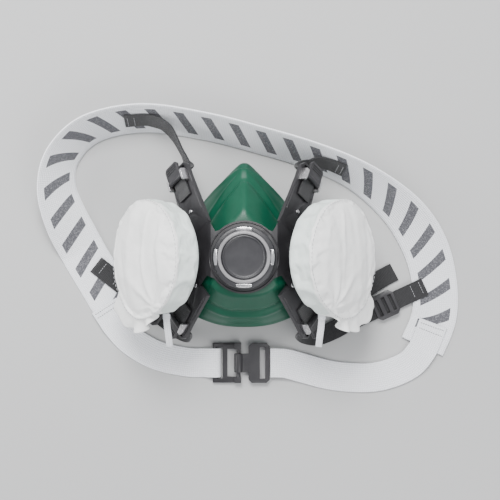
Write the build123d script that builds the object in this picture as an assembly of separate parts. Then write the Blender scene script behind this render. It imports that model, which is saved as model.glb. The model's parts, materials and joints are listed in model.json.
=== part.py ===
from build123d import *

import os
from math import atan2, cos, degrees, pi, radians, sin, sqrt

# A twin-canister half-mask respirator for paint spraying, lying face seal down.
# +Z is the way the mask faces, +Y is towards the nose bridge and +X is the viewer's right.
# The model is built about the exhalation valve's axis and set down, at the end, with the
# centre of its footprint at the origin. All sizes are in millimetres.

# ---------------------------------------------------------------- driving dimensions

# Facepiece: height above the resting plane, half width, nose and chin ordinates of the cup.
CUP_LEVELS = [
    (0.0, 49.0, 57.0, -44.0),
    (14.0, 52.5, 64.0, -49.5),
    (28.0, 51.0, 68.0, -51.0),
    (40.0, 42.5, 66.0, -47.0),
    (52.0, 34.5, 53.0, -38.0),
    (62.0, 28.5, 39.5, -31.0),
    (68.0, 25.5, 31.0, -27.0),
]
CUP_WIDEST_Y = -8.0
CUP_WALL = 1.8
LIP_WIDTH = 12.0
LIP_THICKNESS = 1.6
REST_HALF_LENGTH = 9.0
NOSE_RISE_RADIUS = 78.0
CHIN_RISE_RADIUS = 84.0

# Exhalation valve, on the Z axis.
PLATE_TOP = CUP_LEVELS[-1][0]
YOKE_THICKNESS = 2.6
YOKE_DISC_RADIUS = 25.5
SEAT_RADIUS = 16.8
SEAT_FLANGE_RADIUS = 18.4
SEAT_FLANGE = 2.0
SEAT_BORE = 13.4
SEAT_STEP_RADIUS = 18.0
SEAT_EDGE_TOP = 1.6
SEAT_TUBE_TOP = 5.0
SEAT_TUBE_BORE = 15.5
SEAT_EDGE = 0.8
HUB_RADIUS = 2.8
HUB_THICKNESS = 2.0
SPOKE_WIDTH = 1.8
STEM_RADIUS = 1.2
FLAP_THICKNESS = 0.8
FLAP_LAP = 0.7
EXHALE_LIFT = 2.0
SLIDE_FIT = 0.06
STOP_LIP = 0.8
COVER_RADIUS = 21.8
COVER_HEIGHT = 14.0
COVER_WALL = 1.9
COVER_GASKET = 0.8
CAP_RADIUS = 15.3
CAP_THICKNESS = 2.2
CAP_LEDGE = 2.0
GRIP_LENGTH = 11.0
GRIP_WIDTH = 2.6
GRIP_HEIGHT = 1.0
BAYONET_COUNT = 3
BAYONET_ARC = 34.0
BAYONET_REACH = 1.3
BAYONET_HEIGHT = 1.5
VENT_COUNT = 12
VENT_WIDTH = 5.4
VENT_HEIGHT = 3.6

# Inhalation ports, one on each cheek. The port axis leans out from the Z axis.
PORT_LEAN = 52.0
PORT_X = 41.5
PORT_Z = 43.0
PORT_PAD_RADIUS = 21.0
PORT_PAD_WALL = 2.2
SPIGOT_RADIUS = 14.8
COLLAR_BORE = 12.5
COLLAR_FLANGE_RADIUS = 21.0
COLLAR_FLANGE = 2.2
COLLAR_NECK_RADIUS = 16.4
COLLAR_STEP_RADIUS = 18.6
COLLAR_TOP_RADIUS = 20.5
NECK_LENGTH = 18.0
SCREW_CIRCLE = 16.6
SCREW_RADIUS = 1.0
SCREW_HEAD_RADIUS = 1.8
SCREW_HEAD = 1.2
SCREW_BITE = 1.6
INHALE_SEAT_RADIUS = 18.8
INHALE_SEAT = 1.8
INHALE_OPENING = 10.2
INHALE_LIFT = 1.8
PEG_RADIUS = 1.0
RIVET_PLACES = [(32.0, 9.0), (-20.0, 15.0)]
RIVET_HEAD_RADIUS = 1.9
RIVET_HEAD = 0.9
RIVET_SHANK = 1.1
EAR_WIDTH = 10.0

# Canisters and their fabric covers.
CAN_RADIUS = 36.5
CAN_DEPTH = 17.4
CAN_WALL = 1.8
CAN_TUBE_LENGTH = 8.0
CAN_TUBE_WALL = 1.5
CAN_LEDGE = 1.2
CAN_GASKET = 0.8
SCREEN_THICKNESS = 0.8
CARBON_DEPTH = 8.0
MEDIA_DEPTH = 3.4
GRILLE_DEPTH = 1.2
SCREEN_HOLE = 1.6
STACK_GAP = 0.05
COVER_CLOTH = 1.5
COVER_SLACK = 0.7
COVER_BACK_OPENING = 25.0
COVER_CROWN = 4.0
COVER_SEAM = 1.0
COVER_SEAM_AT = 15.0
TAIL_AT = 13.6
TAIL_THICKNESS = 2.2
TAIL_EDGE = [(-34, 12), (-43, 6), (-52, -4), (-53, -14), (-48, -30), (-36, -46), (-24, -36)]
TIE_KNOT_RADIUS = 2.6
TIE_KNOT_LENGTH = 4.0
TIE_WIDTH = 4.6
TIE_THICKNESS = 1.0

# Harness.
STRAP_WIDTH = 14.0
STRAP_THICKNESS = 1.2
ARM_TIP_WIDTH = 24.0
ARM_ROOT_WIDTH = 30.0
ARM_ROOT = (18.0, 17.0)
UPPER_PIN = (55.0, -3.2)
LOWER_PIN = (-46.0, -4.0)
TIP_FRONT = 10.4
SLOT_CENTRE = 6.9
SLOT_WIDTH = 3.4
SLOT_CLEARANCE = 1.0
RAIL_GAP = STRAP_WIDTH + 2.2
RAIL_LENGTH = 9.0
RAIL_WIDTH = 1.8
RAIL_HEIGHT = 5.8
FRAME_BASE = 0.8
PIN_RADIUS = 0.9
PIN_HEIGHT = 4.3
LEVER_HUB = 1.9
LEVER_REACH = 12.0
LEVER_THICKNESS = 1.9
LEVER_SIDE_GAP = 0.3
CROWN_WIDTH = 34.0
NECK_STRAP_WIDTH = 22.0
BAND_THICKNESS = 1.4
SEWN_GAP = 0.15
SLIDE_LENGTH = 18.0
SLIDE_WALL = 1.3
SLIDE_CHANNEL = STRAP_THICKNESS + 0.6
SLIDE_SIDE = 2.2
CLASP_Y = -80.0
CLASP_PIVOT = (-4.5, 3.6)
CLASP_BAR_RADIUS = 1.5
CLASP_WIDTH = 30.0
HOOK_WIDTH = 14.0
HOOK_RING = 1.7
HOOK_REACH = 19.0
CLASP_THICKNESS = 2.4
CLASP_SLOT = 4.0
LOOP_REACH = 24.0

# ---------------------------------------------------------------- derived places

TOUCH = 0.05
LEAN = radians(PORT_LEAN)
PORT_AXIS = Vector(sin(LEAN), 0, cos(LEAN))
PORT = Plane(origin=(PORT_X, 0, PORT_Z), x_dir=(0, 1, 0), z_dir=PORT_AXIS)
YOKE_TOP = PLATE_TOP + YOKE_THICKNESS
BEND_X = PORT_X - (PLATE_TOP - PORT_Z) / (sin(LEAN) / cos(LEAN))
CAN_BACK = NECK_LENGTH
MIN = (Align.CENTER, Align.CENTER, Align.MIN)
FAR = 120.0

parts = {}


# ---------------------------------------------------------------- shape helpers


def disc(radius, low, high):
    """Round plate about local Z between two heights."""
    return Pos(0, 0, low) * Cylinder(radius, high - low, align=MIN)


def ring(outer, inner, low, high):
    """Round plate with a hole, about local Z."""
    return disc(outer, low, high) - disc(inner, low - 1, high + 1)


def turned(*profile):
    """Solid of revolution about local Z from (radius, height) corners."""
    face = make_face(Polyline(*[(r, 0, z) for r, z in profile], close=True))
    return revolve(face, Axis.Z)


def block(x0, x1, y0, y1, z0, z1):
    """Box from its six faces."""
    return Pos((x0 + x1) / 2, (y0 + y1) / 2, (z0 + z1) / 2) * Box(x1 - x0, y1 - y0, z1 - z0)


def wedge(radius, low, high, start, arc):
    """Sector of a disc, from one angle over an arc, in degrees."""
    steps = 6
    rim = [start + arc * i / steps for i in range(steps + 1)]
    points = [(0, 0)] + [(radius * cos(radians(a)), radius * sin(radians(a))) for a in rim]
    return Pos(0, 0, low) * extrude(make_face(Polyline(*points, close=True)), high - low)


def mirrored(shape):
    """The same piece on the other cheek."""
    return mirror(shape, about=Plane.YZ)


def both(name, shape):
    """Stores a right-hand piece and its mirror image as two nodes."""
    parts[name + "_right"] = shape
    parts[name + "_left"] = mirrored(shape)


def section(centre, along, across, width, thickness):
    """Rectangular wire square to a path, with its width along one direction."""
    plane = Plane(origin=centre, x_dir=across, z_dir=along)
    return plane * Rectangle(width, thickness)


def smooth(values, t):
    """Point at t, from 0 to 1, on a Catmull-Rom curve; its height never overshoots its neighbours."""
    spans = len(values) - 1
    at = min(max(t, 0.0), 1.0) * spans
    i = min(int(at), spans - 1)
    f = at - i
    p0 = values[max(i - 1, 0)]
    p1 = values[i]
    p2 = values[i + 1]
    p3 = values[min(i + 2, spans)]
    curve = p1 * 2 + (p2 - p0) * f + (p0 * 2 - p1 * 5 + p2 * 4 - p3) * f**2 + (p1 * 3 - p0 - p2 * 3 + p3) * f**3
    height = min(max(curve.Z * 0.5, min(p1.Z, p2.Z)), max(p1.Z, p2.Z))
    return Vector(curve.X * 0.5, curve.Y * 0.5, height)


class Ribbon:
    """A flat strap along a smooth path. Each station is a centre point and a width direction."""

    def __init__(self, stations, width, thickness):
        self.points = [Vector(*p) for p, _ in stations]
        self.widths = [Vector(*w).normalized() for _, w in stations]
        self.width = width
        self.thickness = thickness

    def frame(self, t):
        """Centre, way along, width direction and face normal at t, from 0 to 1."""
        step = 0.002
        centre = smooth(self.points, t)
        along = (smooth(self.points, min(t + step, 1)) - smooth(self.points, max(t - step, 0))).normalized()
        at = t * (len(self.widths) - 1)
        i = min(int(at), len(self.widths) - 2)
        across = self.widths[i] * (1 - at + i) + self.widths[i + 1] * (at - i)
        across = (across - along * across.dot(along)).normalized()
        return centre, along, across, along.cross(across)

    def solid(self, pieces_per_span=2):
        """The strap as a chain of straight-sided pieces."""
        count = (len(self.points) - 1) * pieces_per_span
        faces = []
        for i in range(count + 1):
            centre, along, across, _ = self.frame(i / count)
            faces.append(section(centre, along, across, self.width, self.thickness))
        return loft(faces, ruled=True)


# ---------------------------------------------------------------- facepiece


def cup_outline(height, half_width, nose, chin):
    """Pear-shaped face of the cup at one height: pointed nose, full cheeks, round chin."""
    up = nose - CUP_WIDEST_Y
    down = CUP_WIDEST_Y - chin
    right = [
        (0.14 * half_width, nose - 0.05 * up),
        (0.50 * half_width, nose - 0.31 * up),
        (0.84 * half_width, nose - 0.64 * up),
        (half_width, CUP_WIDEST_Y),
        (0.85 * half_width, CUP_WIDEST_Y - 0.64 * down),
        (0.46 * half_width, chin + 0.07 * down),
    ]
    left = [(-x, y) for x, y in reversed(right)]
    loop = Spline(*[(0, nose), *right, (0, chin), *left], periodic=True)
    return Pos(0, 0, height) * make_face(loop)


def cup_solid(inset=0.0, drop=0.0):
    """The filled cup, drawn in from its sides and down from its front."""
    levels = [(z - drop, w - inset, n - inset, c + inset) for z, w, n, c in CUP_LEVELS]
    return loft([cup_outline(*level) for level in levels])


def under_face(offset, depth):
    """Everything below the saddle-shaped line where the mask meets the face."""
    nose_end = FAR / 2 + REST_HALF_LENGTH
    nose_rise = NOSE_RISE_RADIUS - sqrt(NOSE_RISE_RADIUS**2 - (nose_end - REST_HALF_LENGTH) ** 2)
    chin_rise = CHIN_RISE_RADIUS - sqrt(CHIN_RISE_RADIUS**2 - (nose_end - REST_HALF_LENGTH) ** 2)
    rest_front = (REST_HALF_LENGTH, offset)
    rest_back = (-REST_HALF_LENGTH, offset)
    nose_tip = (nose_end, offset + nose_rise)
    chin_tip = (-nose_end, offset + chin_rise)
    nose = TangentArc(rest_front, nose_tip, tangent=(1, 0))
    chin = TangentArc(rest_back, chin_tip, tangent=(-1, 0))
    edge = Curve() + [
        nose,
        Line(rest_back, rest_front),
        chin,
        Line(chin_tip, (-nose_end, -depth)),
        Line((-nose_end, -depth), (nose_end, -depth)),
        Line((nose_end, -depth), nose_tip),
    ]
    profile = Plane.YZ * make_face(edge)
    return extrude(profile, FAR, both=True)


def build_facepiece():
    """Soft cup with a turned-in lip, flat pads at the ports and holes for the valves."""
    outer = cup_solid()
    port_cap = PORT.location * disc(FAR, -CUP_WALL, 60.0)
    inner = cup_solid(CUP_WALL, CUP_WALL) - port_cap - mirrored(port_cap)
    opening_level = (-1.0, CUP_LEVELS[1][1] - LIP_WIDTH, CUP_LEVELS[2][2] - LIP_WIDTH, CUP_LEVELS[2][3] + LIP_WIDTH)
    opening = extrude(cup_outline(*opening_level), CUP_LEVELS[3][0])
    below = under_face(0.0, 40.0)
    lip = (outer & under_face(LIP_THICKNESS, 40.0)) - below - opening
    pad = PORT.location * disc(PORT_PAD_RADIUS, -9.0, 0.0)
    recess = PORT.location * disc(PORT_PAD_RADIUS - 1.6, -16.0, -PORT_PAD_WALL)
    hole = PORT.location * disc(SPIGOT_RADIUS + 0.1, -30.0, 6.0)
    cup = outer + pad + mirrored(pad)
    cup = cup - inner - recess - mirrored(recess) - below
    cup = cup + lip
    cup = cup - hole - mirrored(hole) - disc(SEAT_RADIUS + 0.1, PLATE_TOP - 12, PLATE_TOP + 6)
    return cup - (PORT.location * disc(FAR, 0, 30)) - mirrored(PORT.location * disc(FAR, 0, 30))


# ---------------------------------------------------------------- front yoke


def port_side(shape):
    """Places a piece drawn about the port axis on the right cheek."""
    return PORT.location * shape


def port_holes(radius, low, high):
    """The same round cutter on both port axes."""
    cutter = port_side(disc(radius, low, high))
    return cutter + mirrored(cutter)


def screw_places():
    """Three screws round the port, clear of the rivets."""
    return [(SCREW_CIRCLE * cos(a), SCREW_CIRCLE * sin(a)) for a in (radians(k) for k in (0, 120, 240))]


def arm_frame(pin):
    """Plane on the yoke's face at a buckle pin: Y runs out along the arm."""
    root = ARM_ROOT if pin[0] > 0 else (-ARM_ROOT[0], ARM_ROOT[1])
    base = Vector(*root)
    out = (Vector(*pin) - base).normalized()
    start = PORT.from_local_coords(Vector(pin[0], pin[1], YOKE_THICKNESS))
    along = PORT.x_dir * out.X + PORT.y_dir * out.Y
    return Plane(origin=start, x_dir=along.cross(PORT_AXIS), z_dir=PORT_AXIS)


def arm_plate(pin):
    """One strap arm, from its broad root to its rounded tip, with its webbing slot."""
    root = ARM_ROOT if pin[0] > 0 else (-ARM_ROOT[0], ARM_ROOT[1])
    length = (Vector(*pin) - Vector(*root)).length
    half = ARM_TIP_WIDTH / 2
    tip = TIP_FRONT
    corners = [
        (-ARM_ROOT_WIDTH / 2, -length),
        (-half, -4),
        (-half, tip - 4),
        (-half + 4, tip),
        (half - 4, tip),
        (half, tip - 4),
        (half, -4),
        (ARM_ROOT_WIDTH / 2, -length),
    ]
    plate = Pos(0, 0, -YOKE_THICKNESS) * extrude(make_face(Polyline(*corners, close=True)), YOKE_THICKNESS)
    slot_half = STRAP_WIDTH / 2 + SLOT_CLEARANCE
    slot = block(-slot_half, slot_half, SLOT_CENTRE - SLOT_WIDTH / 2, SLOT_CENTRE + SLOT_WIDTH / 2, -4, 2)
    return arm_frame(pin).location * plate, arm_frame(pin).location * slot


def build_yoke():
    """Stiff plate bent over the front of the cup, with a strap arm at each corner."""
    run = FAR / 2
    drop = run * sin(LEAN) / cos(LEAN)
    shift = YOKE_THICKNESS / sin(LEAN) - YOKE_THICKNESS / (sin(LEAN) / cos(LEAN))
    right = [(BEND_X, PLATE_TOP), (BEND_X + run, PLATE_TOP - drop)]
    over = [(BEND_X + run + 2 * shift, PLATE_TOP - drop), (BEND_X + shift, YOKE_TOP)]
    skin = [(x, 0, z) for x, z in right + over]
    skin = skin + [(-x, 0, z) for x, z in reversed(right + over)]
    bent = extrude(make_face(Polyline(*skin, close=True)), FAR, both=True)
    waist = [(0, 24), (20, 18), (27, 30), (52, 30), (56, 10), (56, -8), (52, -26), (37, -29), (26, -13), (0, -22)]
    outline = [(x, y, 0) for x, y in waist] + [(-x, y, 0) for x, y in reversed(waist[1:-1])]
    body = bent & extrude(make_face(Polyline(*outline, close=True)), FAR)
    body = body + (bent & disc(YOKE_DISC_RADIUS, 0, FAR))
    for pin in (UPPER_PIN, LOWER_PIN):
        plate, slot = arm_plate(pin)
        body = body + plate + mirrored(plate) - slot - mirrored(slot)
    body = body - disc(SEAT_STEP_RADIUS + TOUCH, PLATE_TOP - 8, YOKE_TOP + 8)
    body = body - port_holes(SPIGOT_RADIUS + TOUCH, -4, 8)
    for x, y in screw_places():
        hole = port_side(Pos(x, y, 0) * disc(SCREW_RADIUS + TOUCH, -4, 8))
        body = body - hole - mirrored(hole)
    for x, y in RIVET_PLACES:
        hole = port_side(Pos(x, y, 0) * disc(RIVET_SHANK + TOUCH, -4, 8))
        body = body - hole - mirrored(hole)
    return body


def ear(x, y):
    """Soft tab of the facepiece that runs out under the yoke to a rivet."""
    reach = sqrt(x * x + y * y)
    tab = block(0, reach, -EAR_WIDTH / 2, EAR_WIDTH / 2, -PORT_PAD_WALL, 0)
    tab = tab + Pos(reach, 0, 0) * disc(EAR_WIDTH / 2, -PORT_PAD_WALL, 0)
    return Rot(0, 0, degrees(atan2(y, x))) * tab


def build_rivet(x, y):
    """Shank with a domed head outside and a flat head inside the tab."""
    top = YOKE_THICKNESS
    low = -PORT_PAD_WALL
    head = RIVET_HEAD_RADIUS
    return Pos(x, y, 0) * turned(
        (0, low - RIVET_HEAD),
        (head, low - RIVET_HEAD),
        (head, low),
        (RIVET_SHANK, low),
        (RIVET_SHANK, top),
        (head, top),
        (head - 0.3, top + RIVET_HEAD * 0.6),
        (head - 1.0, top + RIVET_HEAD),
        (0, top + RIVET_HEAD),
    )


yoke = build_yoke()
ears = ear(*RIVET_PLACES[0]) + ear(*RIVET_PLACES[1])
cup_inside = cup_solid(CUP_WALL, CUP_WALL)
ears = port_side(ears - disc(PORT_PAD_RADIUS - 1.6, -8, 4)) - cup_inside
facepiece = build_facepiece() + ears + mirrored(ears)
holes = None
for x, y in screw_places():
    hole = port_side(Pos(x, y, 0) * disc(SCREW_RADIUS + TOUCH, -8, 4))
    facepiece = facepiece - hole - mirrored(hole)
for x, y in RIVET_PLACES:
    hole = port_side(Pos(x, y, 0) * disc(RIVET_SHANK + TOUCH, -8, 4))
    tail = port_side(Pos(x, y, 0) * disc(RIVET_HEAD_RADIUS + 0.3, -8, -PORT_PAD_WALL))
    facepiece = facepiece - hole - mirrored(hole) - tail - mirrored(tail)
facepiece = facepiece - port_side(disc(FAR, 0, 30)) - mirrored(port_side(disc(FAR, 0, 30)))
parts["facepiece"] = facepiece
parts["front_yoke"] = yoke
right_rivets = [port_side(build_rivet(x, y)) for x, y in RIVET_PLACES]
parts["yoke_rivets"] = Compound(right_rivets + [mirrored(r) for r in right_rivets])

# ---------------------------------------------------------------- exhalation valve

CUP_FRONT_INSIDE = PLATE_TOP - CUP_WALL
SEAT_TOP = YOKE_TOP + SEAT_EDGE_TOP
FLAP_RADIUS = SEAT_BORE + SEAT_EDGE + FLAP_LAP
FLAP_TOP = SEAT_TOP + FLAP_THICKNESS
STOP_HEIGHT = FLAP_TOP + EXHALE_LIFT + TOUCH
COVER_FOOT = YOKE_TOP + COVER_GASKET
COVER_TOP = YOKE_TOP + COVER_HEIGHT
SKIRT_TOP = COVER_TOP - CAP_THICKNESS - 1.6
TUBE_TOP = YOKE_TOP + SEAT_TUBE_TOP


def spider(centre_radius, reach, width, low, high, count=3, turn=30.0):
    """Round hub held by straight spokes."""
    shape = disc(centre_radius, low, high)
    for k in range(count):
        spoke = block(0, reach, -width / 2, width / 2, low, high)
        shape = shape + Rot(0, 0, turn + 360 * k / count) * spoke
    return shape


def build_valve_housing():
    """Seat, bayonet tube and flap guide in one moulding, pushed through the cup from inside."""
    low = CUP_FRONT_INSIDE - SEAT_FLANGE
    shell = turned(
        (SEAT_BORE, low),
        (SEAT_FLANGE_RADIUS, low),
        (SEAT_FLANGE_RADIUS, CUP_FRONT_INSIDE),
        (SEAT_RADIUS, CUP_FRONT_INSIDE),
        (SEAT_RADIUS, PLATE_TOP),
        (SEAT_STEP_RADIUS, PLATE_TOP),
        (SEAT_STEP_RADIUS, YOKE_TOP),
        (SEAT_RADIUS, YOKE_TOP),
        (SEAT_RADIUS, TUBE_TOP),
        (SEAT_TUBE_BORE, TUBE_TOP),
        (SEAT_TUBE_BORE, YOKE_TOP),
        (SEAT_BORE + SEAT_EDGE, YOKE_TOP),
        (SEAT_BORE + SEAT_EDGE, SEAT_TOP),
        (SEAT_BORE, SEAT_TOP),
    )
    guide = spider(HUB_RADIUS, SEAT_BORE + 0.4, SPOKE_WIDTH, low, low + HUB_THICKNESS)
    stem = disc(STEM_RADIUS, low, STOP_HEIGHT) + disc(STEM_RADIUS + STOP_LIP, STOP_HEIGHT, STOP_HEIGHT + 0.8)
    lug_ring = ring(SEAT_RADIUS + BAYONET_REACH, SEAT_RADIUS - 0.6, TUBE_TOP - BAYONET_HEIGHT, TUBE_TOP)
    shape = shell + guide + stem
    for k in range(BAYONET_COUNT):
        turn = 360 * k / BAYONET_COUNT - BAYONET_ARC / 2
        shape = shape + (lug_ring & wedge(FAR, YOKE_TOP, TUBE_TOP + 2, turn, BAYONET_ARC))
    return shape


def build_cover_skirt():
    """Wall of the round cover, with its vents and the bayonet tabs under the housing's lugs."""
    inner = COVER_RADIUS - COVER_WALL
    shape = turned(
        (inner, COVER_FOOT),
        (COVER_RADIUS - 0.6, COVER_FOOT),
        (COVER_RADIUS, COVER_FOOT + 0.8),
        (COVER_RADIUS, SKIRT_TOP),
        (inner, SKIRT_TOP),
    )
    tab_top = TUBE_TOP - BAYONET_HEIGHT - 0.3
    tabs = ring(inner + 0.4, SEAT_RADIUS + 0.4, tab_top - BAYONET_HEIGHT, tab_top)
    for k in range(BAYONET_COUNT):
        turn = 360 * k / BAYONET_COUNT - BAYONET_ARC / 2
        shape = shape + (tabs & wedge(FAR, YOKE_TOP, COVER_TOP, turn, BAYONET_ARC))
    vent_low = YOKE_TOP + 5.8
    for k in range(VENT_COUNT):
        vent = block(inner - 2, COVER_RADIUS + 2, -VENT_WIDTH / 2, VENT_WIDTH / 2, vent_low, vent_low + VENT_HEIGHT)
        shape = shape - Rot(0, 0, 360 * (k + 0.5) / VENT_COUNT) * vent
    return shape


def build_cover_bezel():
    """Stepped trim ring that closes the skirt and holds the cap and the grip bars."""
    ledge = COVER_TOP - CAP_THICKNESS
    low = SKIRT_TOP + TOUCH
    shape = turned(
        (COVER_RADIUS, low),
        (COVER_RADIUS, COVER_TOP - 2.6),
        (COVER_RADIUS - 0.8, COVER_TOP - 1.2),
        (COVER_RADIUS - 1.2, COVER_TOP - 1.0),
        (COVER_RADIUS - 3.2, COVER_TOP - 1.0),
        (COVER_RADIUS - 3.5, COVER_TOP - 0.2),
        (CAP_RADIUS + 1.0, COVER_TOP + 0.4),
        (CAP_RADIUS + TOUCH, COVER_TOP),
        (CAP_RADIUS + TOUCH, ledge),
        (CAP_RADIUS - CAP_LEDGE, ledge),
        (CAP_RADIUS - CAP_LEDGE, low),
    )
    for grip in grip_blocks(TOUCH):
        shape = shape - grip
    return shape


def grip_blocks(grow=0.0):
    """Four bright grip bars let into the rim of the cover."""
    bars = []
    for k in range(4):
        half = GRIP_LENGTH / 2 + grow
        middle = COVER_RADIUS - 2.2
        low = COVER_TOP - 1.7 - grow
        bar = block(middle - GRIP_WIDTH / 2 - grow, middle + GRIP_WIDTH / 2 + grow, -half, half, low, low + 3)
        bars.append(Rot(0, 0, 90 * k) * (bar & disc(COVER_RADIUS - 0.9, 0, COVER_TOP - 1.7 + GRIP_HEIGHT + 0.7)))
    return bars


parts["valve_housing"] = build_valve_housing()
parts["exhalation_flap"] = ring(FLAP_RADIUS, STEM_RADIUS + SLIDE_FIT, SEAT_TOP + TOUCH / 2, FLAP_TOP)
parts["cover_gasket"] = ring(COVER_RADIUS - 0.8, COVER_RADIUS - COVER_WALL - 0.2, YOKE_TOP, COVER_FOOT - TOUCH)
parts["valve_cover_skirt"] = build_cover_skirt()
parts["valve_cover_bezel"] = build_cover_bezel()
parts["valve_cover_grips"] = Compound(grip_blocks())
cap_low = COVER_TOP - CAP_THICKNESS
parts["valve_cover_cap"] = turned(
    (0, cap_low),
    (CAP_RADIUS, cap_low),
    (CAP_RADIUS, COVER_TOP - 0.5),
    (CAP_RADIUS - 0.5, COVER_TOP),
    (0, COVER_TOP),
)

# ---------------------------------------------------------------- inlet ports

SEAT_IN = -PORT_PAD_WALL - INHALE_SEAT
INHALE_FLAP_RADIUS = INHALE_OPENING + 1.4
PEG_TOP = SEAT_IN - FLAP_THICKNESS - INHALE_LIFT - TOUCH


def build_collar():
    """Stepped inlet collar: a spigot through the yoke, a flange and three rings."""
    top = CAN_BACK - CAN_GASKET
    shape = turned(
        (COLLAR_BORE, -PORT_PAD_WALL),
        (SPIGOT_RADIUS, -PORT_PAD_WALL),
        (SPIGOT_RADIUS, YOKE_THICKNESS),
        (COLLAR_FLANGE_RADIUS, YOKE_THICKNESS),
        (COLLAR_FLANGE_RADIUS, YOKE_THICKNESS + COLLAR_FLANGE - 0.6),
        (COLLAR_FLANGE_RADIUS - 0.6, YOKE_THICKNESS + COLLAR_FLANGE),
        (COLLAR_NECK_RADIUS + 2.2, YOKE_THICKNESS + COLLAR_FLANGE),
        (COLLAR_NECK_RADIUS + 2.2, 6.4),
        (COLLAR_NECK_RADIUS, 6.8),
        (COLLAR_NECK_RADIUS, 8.4),
        (COLLAR_STEP_RADIUS, 8.8),
        (COLLAR_STEP_RADIUS, 10.4),
        (COLLAR_NECK_RADIUS + 0.6, 10.8),
        (COLLAR_NECK_RADIUS + 0.6, 12.4),
        (COLLAR_TOP_RADIUS, 13.4),
        (COLLAR_TOP_RADIUS, top),
        (COLLAR_BORE, top),
    )
    for x, y in screw_places():
        shape = shape - Pos(x, y, 0) * disc(SCREW_RADIUS + TOUCH, 0, YOKE_THICKNESS + SCREW_BITE + 0.3)
    return shape


def build_inhale_seat():
    """Valve seat screwed to the collar from inside the cup, with its flap peg."""
    seat = ring(INHALE_SEAT_RADIUS, INHALE_OPENING, SEAT_IN, -PORT_PAD_WALL)
    seat = seat + spider(2.4, INHALE_OPENING + 0.4, 1.6, SEAT_IN, -PORT_PAD_WALL)
    for x, y in screw_places():
        seat = seat - Pos(x, y, 0) * disc(SCREW_RADIUS + TOUCH, SEAT_IN - 1, 0)
    peg = disc(PEG_RADIUS, PEG_TOP, SEAT_IN) + disc(PEG_RADIUS + STOP_LIP, PEG_TOP - 0.8, PEG_TOP)
    return seat + peg


def build_screw():
    """Pan-head screw with a cross recess, head inside the cup."""
    head = disc(SCREW_HEAD_RADIUS, SEAT_IN - SCREW_HEAD, SEAT_IN)
    shank = disc(SCREW_RADIUS, SEAT_IN, YOKE_THICKNESS + SCREW_BITE)
    deep = SEAT_IN - SCREW_HEAD
    cross = block(-1.1, 1.1, -0.25, 0.25, deep - 1, deep + 0.5)
    return head + shank - cross - Rot(0, 0, 90) * cross


both("inlet_collar", port_side(build_collar()))
both("inhalation_seat", port_side(build_inhale_seat()))
flap = ring(INHALE_FLAP_RADIUS, PEG_RADIUS + SLIDE_FIT, SEAT_IN - FLAP_THICKNESS, SEAT_IN - TOUCH / 2)
both("inhalation_flap", port_side(flap))
screws = [port_side(Pos(x, y, 0) * build_screw()) for x, y in screw_places()]
parts["seat_screws_right"] = Compound(screws)
parts["seat_screws_left"] = Compound([mirrored(s) for s in screws])

# ---------------------------------------------------------------- canisters

CAN_FRONT = CAN_BACK + CAN_DEPTH
INSIDE_RADIUS = CAN_RADIUS - CAN_WALL
STACK_START = CAN_BACK + CAN_WALL + CAN_LEDGE


def build_can_shell():
    """Open-fronted canister with an inlet tube bonded into the collar."""
    tube = COLLAR_BORE - TOUCH
    return turned(
        (tube - CAN_TUBE_WALL, CAN_BACK - CAN_TUBE_LENGTH),
        (tube, CAN_BACK - CAN_TUBE_LENGTH),
        (tube, CAN_BACK),
        (CAN_RADIUS - 1.2, CAN_BACK),
        (CAN_RADIUS, CAN_BACK + 1.2),
        (CAN_RADIUS, CAN_FRONT),
        (INSIDE_RADIUS, CAN_FRONT),
        (INSIDE_RADIUS, STACK_START),
        (INSIDE_RADIUS - 2.4, STACK_START),
        (INSIDE_RADIUS - 2.4, CAN_BACK + CAN_WALL),
        (tube - CAN_TUBE_WALL, CAN_BACK + CAN_WALL),
    )


def perforated(radius, low, high, hole, rings):
    """Round plate with rings of holes, spaced evenly."""
    plate = disc(radius, low, high)
    cutters = [Pos(0, 0, low - 1) * Cylinder(hole, high - low + 2, align=MIN)]
    for k in range(1, rings + 1):
        distance = k * (radius - 2 * hole) / (rings + 0.4)
        count = 6 * k
        for j in range(count):
            angle = 2 * pi * j / count
            cutter = Cylinder(hole, high - low + 2, align=MIN)
            cutters.append(Pos(distance * cos(angle), distance * sin(angle), low - 1) * cutter)
    return plate - cutters


def build_grille(low, high):
    """Retainer with an outer ring, two inner rings and eight spokes."""
    edge = INSIDE_RADIUS - STACK_GAP
    shape = ring(edge, edge - 3, low, high) + ring(22, 20.2, low, high) + ring(11.4, 9.6, low, high)
    shape = shape + spider(3.2, edge - 1, 1.8, low, high, count=8, turn=22.5)
    return shape


def build_filter_cover():
    """Fabric cover gathered behind the canister, with a flared tail below."""
    hollow = CAN_RADIUS + COVER_SLACK
    out = hollow + COVER_CLOTH
    back = CAN_BACK - COVER_SLACK
    front = CAN_FRONT + COVER_SLACK
    seam = CAN_BACK + COVER_SEAM_AT
    shape = turned(
        (COVER_BACK_OPENING, back - COVER_CLOTH),
        (out - 3, back - COVER_CLOTH),
        (out, back + 1.6),
        (out, seam - 0.8),
        (out + COVER_SEAM, seam),
        (out, seam + 0.8),
        (out, front - 0.4),
        (out - 1.6, front + 1.6),
        (30, front + 3.4),
        (15, front + 5.1),
        (0, front + COVER_CROWN + COVER_CLOTH),
        (0, front + COVER_CROWN),
        (15, front + 3.6),
        (30, front + 1.8),
        (hollow - 1.0, front + 0.3),
        (hollow, front - 0.6),
        (hollow, back + 0.1),
        (COVER_BACK_OPENING, back + 0.1),
    )
    tail = extrude(make_face(Polyline(*[(x, y, 0) for x, y in TAIL_EDGE], close=True)), TAIL_THICKNESS)
    tail = Pos(0, 0, CAN_BACK + TAIL_AT) * tail
    return shape + (tail - disc(out - 0.6, CAN_BACK, CAN_FRONT + 4))


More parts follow.
